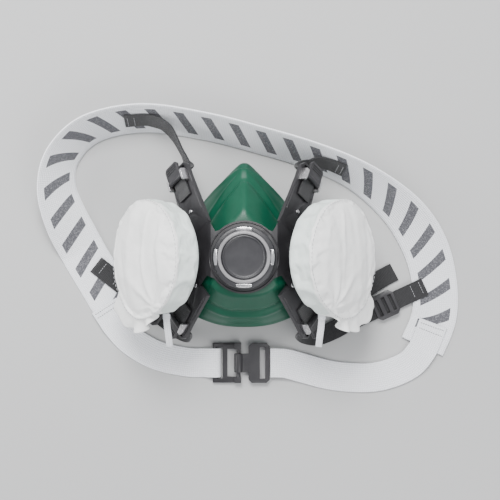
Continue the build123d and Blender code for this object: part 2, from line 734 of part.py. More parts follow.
both("canister_gasket", port_side(ring(COLLAR_TOP_RADIUS - 0.4, 14.5, CAN_BACK - CAN_GASKET, CAN_BACK)))
both("canister_shell", port_side(build_can_shell()))
level = STACK_START
screen_top = level + SCREEN_THICKNESS
both("inner_screen", port_side(perforated(INSIDE_RADIUS - STACK_GAP, level, screen_top, SCREEN_HOLE, 6)))
level = screen_top + STACK_GAP
both("carbon_bed", port_side(disc(INSIDE_RADIUS - STACK_GAP, level, level + CARBON_DEPTH)))
level = level + CARBON_DEPTH + STACK_GAP
screen_top = level + SCREEN_THICKNESS
both("outer_screen", port_side(perforated(INSIDE_RADIUS - STACK_GAP, level, screen_top, SCREEN_HOLE, 6)))
level = screen_top + STACK_GAP
media_top = CAN_FRONT - GRILLE_DEPTH - STACK_GAP
both("particulate_filter", port_side(disc(INSIDE_RADIUS - STACK_GAP, level, media_top)))
both("retainer_grille", port_side(build_grille(CAN_FRONT - GRILLE_DEPTH, CAN_FRONT)))
both("filter_cover", port_side(build_filter_cover()))

# ---------------------------------------------------------------- buckles


def build_buckle_frame():
    """Steel base with two bright side rails that carry the lever's pin."""
    inner = RAIL_GAP / 2
    half = RAIL_LENGTH / 2
    base = block(-inner - RAIL_WIDTH, inner + RAIL_WIDTH, -half, half - 1.5, TOUCH, FRAME_BASE)
    rail = block(inner, inner + RAIL_WIDTH, -half, half, TOUCH, RAIL_HEIGHT)
    bore = Pos(-20, 0, PIN_HEIGHT) * Rot(0, 90, 0) * Cylinder(PIN_RADIUS + 0.02, 40, align=MIN)
    frame = base + rail + mirror(rail, about=Plane.YZ)
    edges = frame.edges().filter_by(Axis.X).group_by(Axis.Z)[-1]
    return chamfer(edges, 1.0) - bore


def build_lever():
    """Cam lever: a round hub on the pin and a ribbed thumb tab over the slot."""
    half = RAIL_GAP / 2 - LEVER_SIDE_GAP
    hub = Pos(-half, 0, PIN_HEIGHT) * Rot(0, 90, 0) * Cylinder(LEVER_HUB, 2 * half, align=MIN)
    low = PIN_HEIGHT - 0.4
    tab = block(-half, half, 0, LEVER_REACH, low, low + LEVER_THICKNESS)
    tab = chamfer(tab.edges().filter_by(Axis.Z).group_by(Axis.Y)[-1], 2.0)
    ribs = [block(-half + 1.6, half - 1.6, y, y + 0.7, low + 1, low + LEVER_THICKNESS + 0.5) for y in (6.2, 7.9, 9.6)]
    bore = Pos(-20, 0, PIN_HEIGHT) * Rot(0, 90, 0) * Cylinder(PIN_RADIUS + SLIDE_FIT, 40, align=MIN)
    return hub + tab + ribs - bore


def build_pin():
    """Plain steel pin between the rails."""
    reach = RAIL_GAP / 2 + RAIL_WIDTH - 0.2
    return Pos(-reach, 0, PIN_HEIGHT) * Rot(0, 90, 0) * Cylinder(PIN_RADIUS, 2 * reach, align=MIN)


for height, pin in (("upper", UPPER_PIN), ("lower", LOWER_PIN)):
    place = arm_frame(pin).location
    both(f"{height}_buckle", place * build_buckle_frame())
    both(f"{height}_lever", place * build_lever())
    both(f"{height}_pin", place * build_pin())

# ---------------------------------------------------------------- straps

HALF_BAND = BAND_THICKNESS / 2
FLOOR_GAP = 0.1
CROWN_STEPS = 3
FLAT_BAND = HALF_BAND + FLOOR_GAP
LAPPED = 2 * FLAT_BAND - FLOOR_GAP + SEWN_GAP + HALF_BAND
STRAP_ON_BAND = 2 * FLAT_BAND - FLOOR_GAP + SEWN_GAP + STRAP_THICKNESS / 2

# Centre line of the crown band over the floor, with the tilt of its width above level.
CROWN_LINE = [
    (-96, -40, 0),
    (-109, -18, 0),
    (-122, 4, 0),
    (-134, 29, 24),
    (-140, 52, 42),
    (-135, 75, 52),
    (-114, 95, 57),
    (-75, 103, 58),
    (-30, 97, 59),
    (10, 87, 59),
    (50, 75, 58),
    (86, 59, 52),
    (117, 35, 34),
    (135, 9, 12),
    (143, -18, 0),
    (143, -45, 0),
    (134, -68, 0),
]


def crown_stations():
    """Centre points and width directions of the crown band, its lower edge on the floor."""
    line = [Vector(x, y, tilt) for x, y, tilt in CROWN_LINE]
    count = (len(line) - 1) * CROWN_STEPS
    stations = []
    for i in range(count + 1):
        here = smooth(line, i / count)
        run = smooth(line, min(i / count + 0.002, 1)) - smooth(line, max(i / count - 0.002, 0))
        out = Vector(-run.Y, run.X, 0).normalized()
        lean = radians(here.Z)
        width = out * cos(lean) + Vector(0, 0, sin(lean))
        height = CROWN_WIDTH / 2 * sin(lean) + HALF_BAND * cos(lean) + FLOOR_GAP
        stations.append(((here.X, here.Y, height), (width.X, width.Y, width.Z)))
    return stations


crown = Ribbon(crown_stations(), CROWN_WIDTH, BAND_THICKNESS)


def on_crown(t, lift):
    """Station of a strap lying on the crown band's inner face."""
    centre, along, across, face = crown.frame(t)
    if face.Z < 0:
        face = face * -1
    at = centre + face * lift
    return ((at.X, at.Y, at.Z), (across.X, across.Y, across.Z))


def through_slot(pin, side):
    """The stretch of webbing that runs under the cam and down through the arm's slot."""
    place = arm_frame(pin)
    middle = FRAME_BASE + STRAP_THICKNESS / 2 + 0.12
    path = [
        (-15.0, 1.0),
        (-9.0, 1.1),
        (-5.0, middle),
        (2.4, middle),
        (SLOT_CENTRE - 1.7, 0.95),
        (SLOT_CENTRE - 0.2, -1.1),
        (SLOT_CENTRE + 0.2, -3.4),
        (SLOT_CENTRE + 0.3, -8.0),
    ]
    stations = []
    for s, h in path:
        point = place.from_local_coords(Vector(0, s, h))
        across = place.x_dir * (-1 if pin[0] > 0 else 1)
        stations.append(((side * point.X, point.Y, point.Z), (side * across.X, across.Y, across.Z)))
    return stations


LIFT = HALF_BAND + 2 * SEWN_GAP + STRAP_THICKNESS / 2
SLIDE_HEIGHT = STRAP_ON_BAND

upper_right = through_slot(UPPER_PIN, 1) + [
    ((41, 63, 27), (-0.3, 0.8, 0.5)),
    ((46, 66.5, 19.5), (-0.1, 0.5, 0.86)),
    on_crown(10.1 / 16, LIFT + 3.0),
    on_crown(10.333 / 16, LIFT + 0.3),
    on_crown(10.667 / 16, LIFT),
]
upper_left = through_slot(UPPER_PIN, -1) + [
    ((-41, 65, 27), (0.2, 0.5, 0.8)),
    ((-46, 77, 20), (0.1, 0.3, 0.95)),
    ((-53, 90, 16.5), (0.1, 0.5, 0.86)),
    on_crown(7.35 / 16, LIFT + 4.0),
    on_crown(7.15 / 16, LIFT + 1.2),
    on_crown(7.0 / 16, LIFT + 0.1),
    on_crown(6.667 / 16, LIFT),
]
lower_right = through_slot(LOWER_PIN, 1) + [
    ((41, -54, 24), (-0.5, -0.8, 0.35)),
    ((44, -58, 12), (-0.1, -0.95, 0.3)),
    ((54, -60, 4.4), (0.25, -0.95, 0.05)),
    ((66, -56, SLIDE_HEIGHT), (0.42, -0.9, 0)),
    ((80, -48.67, SLIDE_HEIGHT), (0.421, -0.907, 0)),
    ((100, -39.38, SLIDE_HEIGHT), (0.421, -0.907, 0)),
    ((120, -30.1, SLIDE_HEIGHT), (0.421, -0.907, 0)),
    ((136, -22.67, SLIDE_HEIGHT), (0.421, -0.907, 0)),
]
lower_left = through_slot(LOWER_PIN, -1) + [
    ((-41, -54, 24), (0.3, -0.9, 0.3)),
    ((-42, -57, 13), (-0.1, -0.97, 0.15)),
    ((-48, -55.5, 5), (-0.5, -0.85, 0)),
    ((-57, -49.2, SLIDE_HEIGHT), (-0.618, -0.786, 0)),
    ((-70, -38.98, SLIDE_HEIGHT), (-0.618, -0.786, 0)),
    ((-91, -22.47, SLIDE_HEIGHT), (-0.618, -0.786, 0)),
    ((-112, -5.96, SLIDE_HEIGHT), (-0.618, -0.786, 0)),
]
free_end = [
    ((72, -52.4, SLIDE_HEIGHT + STRAP_THICKNESS + SEWN_GAP), (0.421, -0.907, 0)),
    ((76.5, -45.5, SLIDE_HEIGHT + STRAP_THICKNESS + SEWN_GAP), (0.7, -0.7, 0)),
    ((81, -36.5, SLIDE_HEIGHT + STRAP_THICKNESS + SEWN_GAP), (0.8, -0.6, 0)),
    ((87, -28, SLIDE_HEIGHT + STRAP_THICKNESS + SEWN_GAP), (0.6, -0.8, 0)),
    ((96, -21, 1.4), (0.5, -0.866, 0)),
    ((104, -16.3, FLAT_BAND), (0.5, -0.866, 0)),
    ((113, -11.5, FLAT_BAND), (0.47, -0.88, 0)),
]
neck_right = [
    ((142.3, -50, LAPPED), (0.97, -0.2, 0)),
    ((138.5, -60, LAPPED), (0.92, -0.38, 0)),
    ((133, -71.5, LAPPED), (0.8, -0.6, 0)),
    ((122, -83, FLAT_BAND), (0.55, -0.83, 0)),
    ((98, -91, FLAT_BAND), (0.15, -0.99, 0)),
    ((68, -90, FLAT_BAND), (-0.1, -0.99, 0)),
    ((44, -84, FLAT_BAND + 0.8), (-0.25, -0.97, 0)),
    ((32, -80.6, CLASP_PIVOT[1] - 0.4), (-0.1, -1, 0)),
    ((25, CLASP_Y, CLASP_PIVOT[1]), (0, -1, 0)),
    ((HOOK_REACH + 0.5, CLASP_Y, CLASP_PIVOT[1]), (0, -1, 0)),
]
neck_left = [
    ((-105.8, -36.9, LAPPED), (-0.84, -0.55, 0)),
    ((-100.9, -44.4, LAPPED), (-0.84, -0.55, 0)),
    ((-95.5, -52.5, 1.7), (-0.8, -0.6, 0)),
    ((-84, -64.5, FLAT_BAND), (-0.65, -0.76, 0)),
    ((-66, -74.5, FLAT_BAND), (-0.35, -0.94, 0)),
    ((-44, -79.5, FLAT_BAND), (-0.1, -0.99, 0)),
    ((-31, CLASP_Y, FLAT_BAND + 0.3), (0, -1, 0)),
    ((-26.4, CLASP_Y, 3.1), (0, -1, 0)),
    ((-22.3, CLASP_Y, 3.9), (0, -1, 0)),
    ((-20.0, CLASP_Y, 3.8), (0, -1, 0)),
    ((-18.8, CLASP_Y, 2.6), (0, -1, 0)),
    ((-18.5, CLASP_Y, 1.0), (0, -1, 0)),
]

parts["crown_band"] = crown.solid(1)
parts["upper_strap_right"] = Ribbon(upper_right, STRAP_WIDTH, STRAP_THICKNESS).solid()
parts["upper_strap_left"] = Ribbon(upper_left, STRAP_WIDTH, STRAP_THICKNESS).solid()
parts["lower_strap_right"] = Ribbon(lower_right, STRAP_WIDTH, STRAP_THICKNESS).solid()
parts["lower_strap_left"] = Ribbon(lower_left, STRAP_WIDTH, STRAP_THICKNESS).solid()
parts["strap_free_end"] = Ribbon(free_end, STRAP_WIDTH, STRAP_THICKNESS).solid()
parts["neck_strap_right"] = Ribbon(neck_right, NECK_STRAP_WIDTH, BAND_THICKNESS).solid()
parts["neck_strap_left"] = Ribbon(neck_left, NECK_STRAP_WIDTH, BAND_THICKNESS).solid()

# ---------------------------------------------------------------- ties, slides and clasp


def build_tie():
    """Knot at the pinch of a filter cover, with its loose flat tail."""
    knot_at = PORT.from_local_coords(Vector(-CAN_RADIUS - 5.6, 4, CAN_BACK + 2))
    knot = Pos(*knot_at) * Rot(90, 0, 0) * Cylinder(TIE_KNOT_RADIUS, TIE_KNOT_LENGTH)
    x, y, z = knot_at.X, knot_at.Y, knot_at.Z
    tail = Ribbon(
        [
            ((x, y - 1, z), (1, 0, 0)),
            ((x - 0.4, y - 7, z - 1.2), (1, 0, 0)),
            ((x - 1.2, y - 15, z - 4.6), (1, 0, 0.1)),
            ((x - 1.6, y - 22, z - 10.5), (1, 0, 0.15)),
        ],
        TIE_WIDTH,
        TIE_THICKNESS,
    )
    return knot + tail.solid(3)


def build_slide(centre, heading):
    """Flat keeper that the webbing runs straight through."""
    inside = STRAP_WIDTH / 2 + 0.4
    outside = inside + SLIDE_SIDE
    half = SLIDE_LENGTH / 2
    tall = SLIDE_CHANNEL / 2
    shape = block(-half, half, -outside, outside, -tall - SLIDE_WALL, tall + SLIDE_WALL)
    shape = chamfer(shape.edges().filter_by(Axis.Z), 2.5)
    shape = shape - block(-half - 1, half + 1, -inside, inside, -tall, tall)
    for x in (-5.5, 0, 5.5):
        shape = shape - block(x - 1.2, x + 1.2, -inside + 1, inside - 1, 0, tall + SLIDE_WALL + 1)
    return Pos(centre[0], centre[1], SLIDE_HEIGHT) * Rot(0, 0, heading) * shape


def build_clasp_loop():
    """Catch plate on the left neck strap with a cross bar for the hook."""
    x, z = CLASP_PIVOT
    half = CLASP_WIDTH / 2
    plate = block(-LOOP_REACH, x + 2, -half, half, 0.3, 0.3 + CLASP_THICKNESS)
    lugs = block(x - 3, x + 2, -half, half, 0.3, z + 2)
    shape = plate + lugs
    slot_from = -LOOP_REACH + 3.5
    shape = shape - block(slot_from, slot_from + CLASP_SLOT, -half + 3.2, half - 3.2, -1, 9)
    shape = shape - block(slot_from + CLASP_SLOT + 3.5, x + 3, -half + 4.5, half - 4.5, -1, 9)
    bar = Pos(x, -half + 2, z) * Rot(-90, 0, 0) * Cylinder(CLASP_BAR_RADIUS, CLASP_WIDTH - 4, align=MIN)
    return Pos(0, CLASP_Y, 0) * (shape + bar)


def build_clasp_hook():
    """Hook that swings on the catch bar, with a strap slot at its outer end."""
    x, z = CLASP_PIVOT
    half = HOOK_WIDTH / 2
    bore = CLASP_BAR_RADIUS + SLIDE_FIT
    curl = Pos(x, -half, z) * Rot(-90, 0, 0) * Cylinder(bore + HOOK_RING, HOOK_WIDTH, align=MIN)
    low = z - CLASP_THICKNESS / 2
    neck = block(x, 4, -half, half, low, low + CLASP_THICKNESS)
    wide = CLASP_WIDTH / 2
    plate = block(3, HOOK_REACH, -wide, wide, low, low + CLASP_THICKNESS)
    plate = chamfer(plate.edges().filter_by(Axis.Z), 2.5)
    slot = block(HOOK_REACH - 7.5, HOOK_REACH - 3.5, -wide + 3.2, wide - 3.2, -1, 12)
    hole = Pos(x, -half - 1, z) * Rot(-90, 0, 0) * Cylinder(bore, HOOK_WIDTH + 2, align=MIN)
    mouth = block(x - bore * 0.8, x + bore * 0.5, -half - 1, half + 1, z - 9, z)
    return Pos(0, CLASP_Y, 0) * (curl + neck + plate - slot - hole - mouth)


both("cover_tie", build_tie())
parts["side_slide_right"] = build_slide((106, -36.6), degrees(atan2(0.421, 0.907)))
parts["side_slide_left"] = build_slide((-68.4, -40.24), degrees(atan2(-0.618, 0.786)))
parts["clasp_loop"] = build_clasp_loop()
parts["clasp_hook"] = build_clasp_hook()

# ---------------------------------------------------------------- set down and write


def set_down(shapes):
    """Moves every piece so the footprint's centre is at the origin, resting on z = 0."""
    boxes = [shape.bounding_box() for shape in shapes.values()]
    x = (min(b.min.X for b in boxes) + max(b.max.X for b in boxes)) / 2
    y = (min(b.min.Y for b in boxes) + max(b.max.Y for b in boxes)) / 2
    z = min(b.min.Z for b in boxes)
    print("valve axis ends at", round(-x, 4), round(-y, 4), round(-z, 4))
    return {name: Pos(-x, -y, -z) * shape for name, shape in shapes.items()}


os.makedirs("parts", exist_ok=True)
for name, shape in set_down(parts).items():
    export_step(shape, f"parts/{name}.step")
    print(name, len(shape.solids()), round(shape.volume), all(s.is_valid for s in shape.solids()))
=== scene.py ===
# %% [markdown]
# # A half-mask respirator, dressed in Blender
# The mask lies on a table with its face seal down, so it looks straight up at us. The hard parts
# and all the moving pieces arrive as a finished frame. Here the soft things are made: the green
# cup, the white cloth covers over the filter canisters, the webbing and the elastic bands. Every
# finish is built from nodes. Distances in the lists below are millimetres from the valve's axis.

# %% Load the frame and find the valve's axis
import json
from math import atan2, cos, exp, hypot, pi, radians, sin, sqrt, tau

import bmesh
import bpy
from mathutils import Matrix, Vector, noise

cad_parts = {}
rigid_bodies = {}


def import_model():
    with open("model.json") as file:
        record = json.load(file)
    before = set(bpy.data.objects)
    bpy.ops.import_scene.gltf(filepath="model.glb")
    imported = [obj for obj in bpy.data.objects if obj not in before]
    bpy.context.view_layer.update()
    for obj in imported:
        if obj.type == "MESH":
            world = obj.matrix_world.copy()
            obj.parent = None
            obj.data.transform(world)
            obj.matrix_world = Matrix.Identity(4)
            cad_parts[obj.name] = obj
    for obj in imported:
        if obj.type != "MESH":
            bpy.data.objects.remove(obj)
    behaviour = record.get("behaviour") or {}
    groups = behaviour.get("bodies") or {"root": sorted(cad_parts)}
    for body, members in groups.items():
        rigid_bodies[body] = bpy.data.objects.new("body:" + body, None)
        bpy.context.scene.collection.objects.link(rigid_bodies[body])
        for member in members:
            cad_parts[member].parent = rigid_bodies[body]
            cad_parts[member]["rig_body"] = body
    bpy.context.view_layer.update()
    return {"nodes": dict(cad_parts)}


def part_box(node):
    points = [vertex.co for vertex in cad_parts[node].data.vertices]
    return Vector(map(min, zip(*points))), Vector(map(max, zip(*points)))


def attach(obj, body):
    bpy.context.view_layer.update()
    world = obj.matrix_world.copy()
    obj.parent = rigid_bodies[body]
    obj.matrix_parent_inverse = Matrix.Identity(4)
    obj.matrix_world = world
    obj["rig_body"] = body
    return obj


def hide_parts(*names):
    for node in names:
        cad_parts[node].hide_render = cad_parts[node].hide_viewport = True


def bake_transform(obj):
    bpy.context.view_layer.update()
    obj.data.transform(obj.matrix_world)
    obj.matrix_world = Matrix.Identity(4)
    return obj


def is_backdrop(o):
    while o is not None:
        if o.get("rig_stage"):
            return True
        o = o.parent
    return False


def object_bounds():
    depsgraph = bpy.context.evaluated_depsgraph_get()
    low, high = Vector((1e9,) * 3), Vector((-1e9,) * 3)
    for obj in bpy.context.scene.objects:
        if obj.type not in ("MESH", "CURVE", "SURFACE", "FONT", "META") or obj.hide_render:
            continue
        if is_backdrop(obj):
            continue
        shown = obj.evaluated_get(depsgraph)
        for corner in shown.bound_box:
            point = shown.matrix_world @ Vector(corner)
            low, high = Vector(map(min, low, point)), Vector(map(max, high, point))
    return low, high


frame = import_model()
cap_low, cap_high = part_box("valve_cover_cap")
VALVE = Vector(((cap_low.x + cap_high.x) / 2, (cap_low.y + cap_high.y) / 2, 0))
MM = 0.001

# %% [markdown]
# ## Places
# Two helpers turn millimetres into the frame's metres. `at` counts from the valve's axis. `port`
# counts from the centre of an inlet port, whose axis leans out by 52 degrees: its third number is
# the distance out along the canister's axis. The left cheek is the right one seen in a mirror.

# %% From millimetres to the frame
LEAN = radians(52)
PORT_X, PORT_Z = 41.5, 43.0
OUT = Vector((sin(LEAN), 0, cos(LEAN)))
RISE = Vector((-cos(LEAN), 0, sin(LEAN)))
SIDES = {"right": 1, "left": -1}


def at(x, y, z):
    return VALVE + Vector((x, y, z)) * MM


def port_mm(x, y, z):
    return Vector((PORT_X, 0, PORT_Z)) + Vector((0, x, 0)) + RISE * y + OUT * z


def port(side, x, y, z):
    p = port_mm(x, y, z)
    return at(p.x * SIDES[side], p.y, p.z)


def smoothstep(low, high, value):
    t = min(max((value - low) / (high - low), 0), 1)
    return t * t * (3 - 2 * t)


def bump_at(value, centre, width):
    return exp(-(((value - centre) / width) ** 2))


print("right port centre", [round(v, 4) for v in port("right", 0, 0, 0)])

# %% [markdown]
# ## Meshes from rows of points
# Most soft pieces here are one net of points: rows along one way, columns along the other. The net
# is skinned with four-sided faces and keeps a UV map measured in metres, so that a weave or a row of
# stitches has its true size. `place` links a piece, gives it its finish, smooths it and lets it ride
# on the body it belongs to.

# %% Net, placing and smoothing helpers
def net(name, rows, wrap_rows=False, wrap_columns=False, uv=None):
    columns = len(rows[0])
    mesh = bpy.data.meshes.new(name)
    points = [tuple(p) for row in rows for p in row]
    faces = []
    for r in range(len(rows) if wrap_rows else len(rows) - 1):
        for c in range(columns if wrap_columns else columns - 1):
            r2, c2 = (r + 1) % len(rows), (c + 1) % columns
            faces.append((r * columns + c, r * columns + c2, r2 * columns + c2, r2 * columns + c))
    mesh.from_pydata(points, [], faces)
    if uv:
        layer = mesh.uv_layers.new(name="UVMap")
        flat = [pair for row in uv for pair in row]
        for loop in mesh.loops:
            layer.data[loop.index].uv = flat[loop.vertex_index]
    mesh.validate()
    return bpy.data.objects.new(name, mesh)


def face_out(obj):
    work = bmesh.new()
    work.from_mesh(obj.data)
    bmesh.ops.remove_doubles(work, verts=work.verts, dist=1e-6)
    bmesh.ops.recalc_face_normals(work, faces=work.faces)
    work.to_mesh(obj.data)
    work.free()


def place(obj, body, finish, smooth=True):
    if obj.name not in bpy.context.scene.collection.objects:
        bpy.context.scene.collection.objects.link(obj)
    obj.data.materials.clear()
    obj.data.materials.append(finish)
    for face in obj.data.polygons:
        face.use_smooth = smooth
    if body:
        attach(obj, body)
    return obj


def apply_all(obj):
    graph = bpy.context.evaluated_depsgraph_get()
    done = bpy.data.meshes.new_from_object(obj.evaluated_get(graph))
    obj.modifiers.clear()
    obj.data = done
    return obj


def join_meshes(name, objects):
    work = bmesh.new()
    for obj in objects:
        work.from_mesh(obj.data)
        if obj.name in bpy.context.scene.collection.objects:
            bpy.context.scene.collection.objects.unlink(obj)
    mesh = bpy.data.meshes.new(name)
    work.to_mesh(mesh)
    work.free()
    return bpy.data.objects.new(name, mesh)


# %% [markdown]
# ## Finishes
# Each finish is a small node tree around one Principled shader. A noise or a wave drives colour,
# roughness and bump together, because real wear, weave and moulding texture change all three at
# once. In the woven finishes the colour darkens in the weave's grooves, which is painted shade.
# Numbers that are the same everywhere are typed straight into the shader.

# %% A starting point for every finish
def new_finish(name, colour, roughness, **settings):
    finish = bpy.data.materials.new(name)
    finish.use_nodes = True
    nodes, links = finish.node_tree.nodes, finish.node_tree.links
    shader = nodes["Principled BSDF"]
    shader.inputs["Base Color"].default_value = (*colour, 1)
    shader.inputs["Roughness"].default_value = roughness
    for socket, value in settings.items():
        shader.inputs[socket.replace("_", " ")].default_value = value
    return finish, nodes, links, shader


def ramp(nodes, links, source, low, high, low_at=0.0, high_at=1.0):
    mixer = nodes.new("ShaderNodeValToRGB")
    mixer.color_ramp.elements[0].position = low_at
    mixer.color_ramp.elements[0].color = (*low, 1)
    mixer.color_ramp.elements[1].position = high_at
    mixer.color_ramp.elements[1].color = (*high, 1)
    links.new(source, mixer.inputs["Fac"])
    return mixer.outputs["Color"]


def span(nodes, links, source, low, high):
    mapper = nodes.new("ShaderNodeMapRange")
    mapper.inputs["To Min"].default_value = low
    mapper.inputs["To Max"].default_value = high
    links.new(source, mapper.inputs["Value"])
    return mapper.outputs["Result"]


def speckle(nodes, links, scale, detail=4, rough=0.55):
    place_node = nodes.new("ShaderNodeTexCoord")
    grain = nodes.new("ShaderNodeTexNoise")
    grain.inputs["Scale"].default_value = scale
    grain.inputs["Detail"].default_value = detail
    grain.inputs["Roughness"].default_value = rough
    links.new(place_node.outputs["Object"], grain.inputs["Vector"])
    return grain.outputs["Fac"]


def add_bump(nodes, links, shader, heights):
    last = None
    for height, strength, distance in heights:
        relief = nodes.new("ShaderNodeBump")
        relief.inputs["Strength"].default_value = strength
        relief.inputs["Distance"].default_value = distance
        links.new(height, relief.inputs["Height"])
        if last:
            links.new(last, relief.inputs["Normal"])
        last = relief.outputs["Normal"]
    links.new(last, shader.inputs["Normal"])


# %% Moulded plastic and rubber: fine spark texture, faint scuffs, paler worn patches
def moulded(name, colour, roughness, grain=2600, scuff=0.25, depth=0.00006, **settings):
    finish, nodes, links, shader = new_finish(name, colour, roughness, **settings)
    fine = speckle(nodes, links, grain, 2)
    broad = speckle(nodes, links, 45, 6, 0.7)
    paler = tuple(min(c * (1 + scuff) + 0.012 * scuff, 1) for c in colour)
    darker = tuple(c * (1 - 0.4 * scuff) for c in colour)
    links.new(ramp(nodes, links, broad, darker, paler, 0.35, 0.68), shader.inputs["Base Color"])
    links.new(span(nodes, links, broad, roughness - 0.09, roughness + 0.12), shader.inputs["Roughness"])
    add_bump(nodes, links, shader, [(fine, 0.35, depth), (broad, 0.12, 0.0002)])
    return finish


BLACK_PLASTIC = moulded("satin_black_plastic", (0.019, 0.018, 0.020), 0.40, 1900)
CHARCOAL = moulded("charcoal_valve_plastic", (0.020, 0.0195, 0.022), 0.36, 2300)
# Painted highlight: a pale grey copy of the charcoal valve plastic, standing in for light on the sloped ring round the
# valve cover.
PAINTED_HIGHLIGHT_GREY = moulded("painted_highlight_ring_plastic", (0.20, 0.195, 0.20), 0.30, 2300)
GREY_PLASTIC = moulded("inner_grey_plastic", (0.23, 0.24, 0.25), 0.45, 2000)
PALE_PLASTIC = moulded("canister_plastic", (0.55, 0.56, 0.55), 0.42, 2000)
BLACK_RUBBER = moulded("gasket_rubber", (0.014, 0.014, 0.014), 0.62, 1500)
CARBON = moulded("carbon_granules", (0.012, 0.012, 0.013), 0.55, 500, 0.6, 0.0008)
GREEN = moulded("green_elastomer", (0.0008, 0.060, 0.031), 0.36, 1700, 0.16, 0.00005, Specular_IOR_Level=0.32)
SILICONE = moulded(
    "flap_silicone", (0.62, 0.64, 0.60), 0.30, 1200, 0.1, 0.00003, Transmission_Weight=0.25, IOR=1.41
)


# %% Metal: drawn lines for the buckles, a woven mesh look for the screens
def metal(name, colour, roughness, brushed=True):
    finish, nodes, links, shader = new_finish(name, colour, roughness, Metallic=1.0)
    where = nodes.new("ShaderNodeTexCoord")
    stretch = nodes.new("ShaderNodeMapping")
    stretch.inputs["Scale"].default_value = (9000, 500, 9000) if brushed else (3000, 3000, 3000)
    lines = nodes.new("ShaderNodeTexNoise")
    lines.inputs["Scale"].default_value = 1
    lines.inputs["Detail"].default_value = 3
    links.new(where.outputs["Object"], stretch.inputs["Vector"])
    links.new(stretch.outputs["Vector"], lines.inputs["Vector"])
    tarnish = speckle(nodes, links, 160, 5, 0.6)
    dull = tuple(c * 0.72 for c in colour)
    links.new(ramp(nodes, links, tarnish, dull, colour, 0.3, 0.6), shader.inputs["Base Color"])
    links.new(span(nodes, links, lines.outputs["Fac"], roughness - 0.08, roughness + 0.14), shader.inputs["Roughness"])
    add_bump(nodes, links, shader, [(lines.outputs["Fac"], 0.25, 0.00004)])
    return finish


STEEL = metal("bright_steel", (0.62, 0.61, 0.62), 0.24)
SCREEN = metal("screen_steel", (0.40, 0.40, 0.41), 0.38, False)


# %% [markdown]
# ### Cloth
# Two kinds of cloth are needed. The canister covers are spun-bonded: tiny fibres pressed flat in
# every direction, so a stretched noise in three directions gives the fibres and a cell pattern gives
# the little bond points. The straps are woven, so their pattern comes from two waves that cross on
# the strap's own UV map, which is measured in metres. Where the waves dip, in the weave's grooves,
# the colour is darkened as painted shade.

# %% Spun-bonded cover cloth
def spun_bonded(name, colour, shade):
    finish, nodes, links, shader = new_finish(name, colour, 0.88, Sheen_Weight=0.25, Sheen_Roughness=0.5)
    where = nodes.new("ShaderNodeTexCoord")
    fibres = []
    for turn, scale in ((0.3, (2600, 260, 260)), (1.5, (260, 2400, 260)), (0.9, (300, 300, 2600))):
        spin = nodes.new("ShaderNodeMapping")
        spin.inputs["Rotation"].default_value = (turn, turn * 0.6, turn * 1.7)
        spin.inputs["Scale"].default_value = scale
        fibre = nodes.new("ShaderNodeTexNoise")
        fibre.inputs["Scale"].default_value = 1
        fibre.inputs["Detail"].default_value = 3
        links.new(where.outputs["Object"], spin.inputs["Vector"])
        links.new(spin.outputs["Vector"], fibre.inputs["Vector"])
        fibres.append(fibre.outputs["Fac"])
    bond = nodes.new("ShaderNodeTexVoronoi")
    bond.inputs["Scale"].default_value = 620
    bond.inputs["Randomness"].default_value = 0.35
    links.new(where.outputs["Object"], bond.inputs["Vector"])
    cloud = speckle(nodes, links, 55, 5, 0.6)
    links.new(ramp(nodes, links, cloud, shade, colour, 0.3, 0.62), shader.inputs["Base Color"])
    heights = [(f, 0.30, 0.00012) for f in fibres]
    heights += [(bond.outputs["Distance"], 0.28, 0.00016), (cloud, 0.25, 0.0006)]
    add_bump(nodes, links, shader, heights)
    return finish


COVER_CLOTH = spun_bonded("cover_cloth", (0.86, 0.86, 0.845), (0.78, 0.785, 0.77))
# Painted shade: a darker, greener copy of the cover cloth for the side band of each cover.
SHADED_SIDE_CLOTH = spun_bonded("cover_side_painted_shade_cloth", (0.72, 0.785, 0.755), (0.62, 0.68, 0.65))
FILTER_FELT = spun_bonded("filter_felt", (0.66, 0.65, 0.62), (0.55, 0.54, 0.50))


# %% Woven webbing and ribbed elastic
def woven(name, colour, shade, pitch, rib, roughness=0.8, bars=None, sheen=0.2):
    finish, nodes, links, shader = new_finish(name, colour, roughness, Sheen_Weight=sheen)
    where = nodes.new("ShaderNodeUVMap")
    heights = []
    for direction, size, strength in (("X", pitch, 0.55), ("Y", rib, 0.75)):
        wave = nodes.new("ShaderNodeTexWave")
        wave.wave_type = "BANDS"
        wave.bands_direction = direction
        wave.inputs["Scale"].default_value = 0.314 / size
        wave.inputs["Distortion"].default_value = 0.6
        wave.inputs["Detail"].default_value = 2
        wave.inputs["Detail Scale"].default_value = 4
        links.new(where.outputs["UV"], wave.inputs["Vector"])
        heights.append((wave.outputs["Fac"], strength, 0.00028))
    fuzz = speckle(nodes, links, 900, 4, 0.7)
    mixed = nodes.new("ShaderNodeMath")
    mixed.operation = "MULTIPLY"
    links.new(heights[0][0], mixed.inputs[0])
    links.new(heights[1][0], mixed.inputs[1])
    # Painted shade: the colour runs from colour down to shade where the two waves dip, in the weave's grooves.
    base = ramp(nodes, links, mixed.outputs[0], shade, colour, 0.05, 0.75)
    if bars:
        base = printed_bars(nodes, links, where, base, bars, fuzz)
    links.new(base, shader.inputs["Base Color"])
    add_bump(nodes, links, shader, heights + [(fuzz, 0.3, 0.00015)])
    return finish


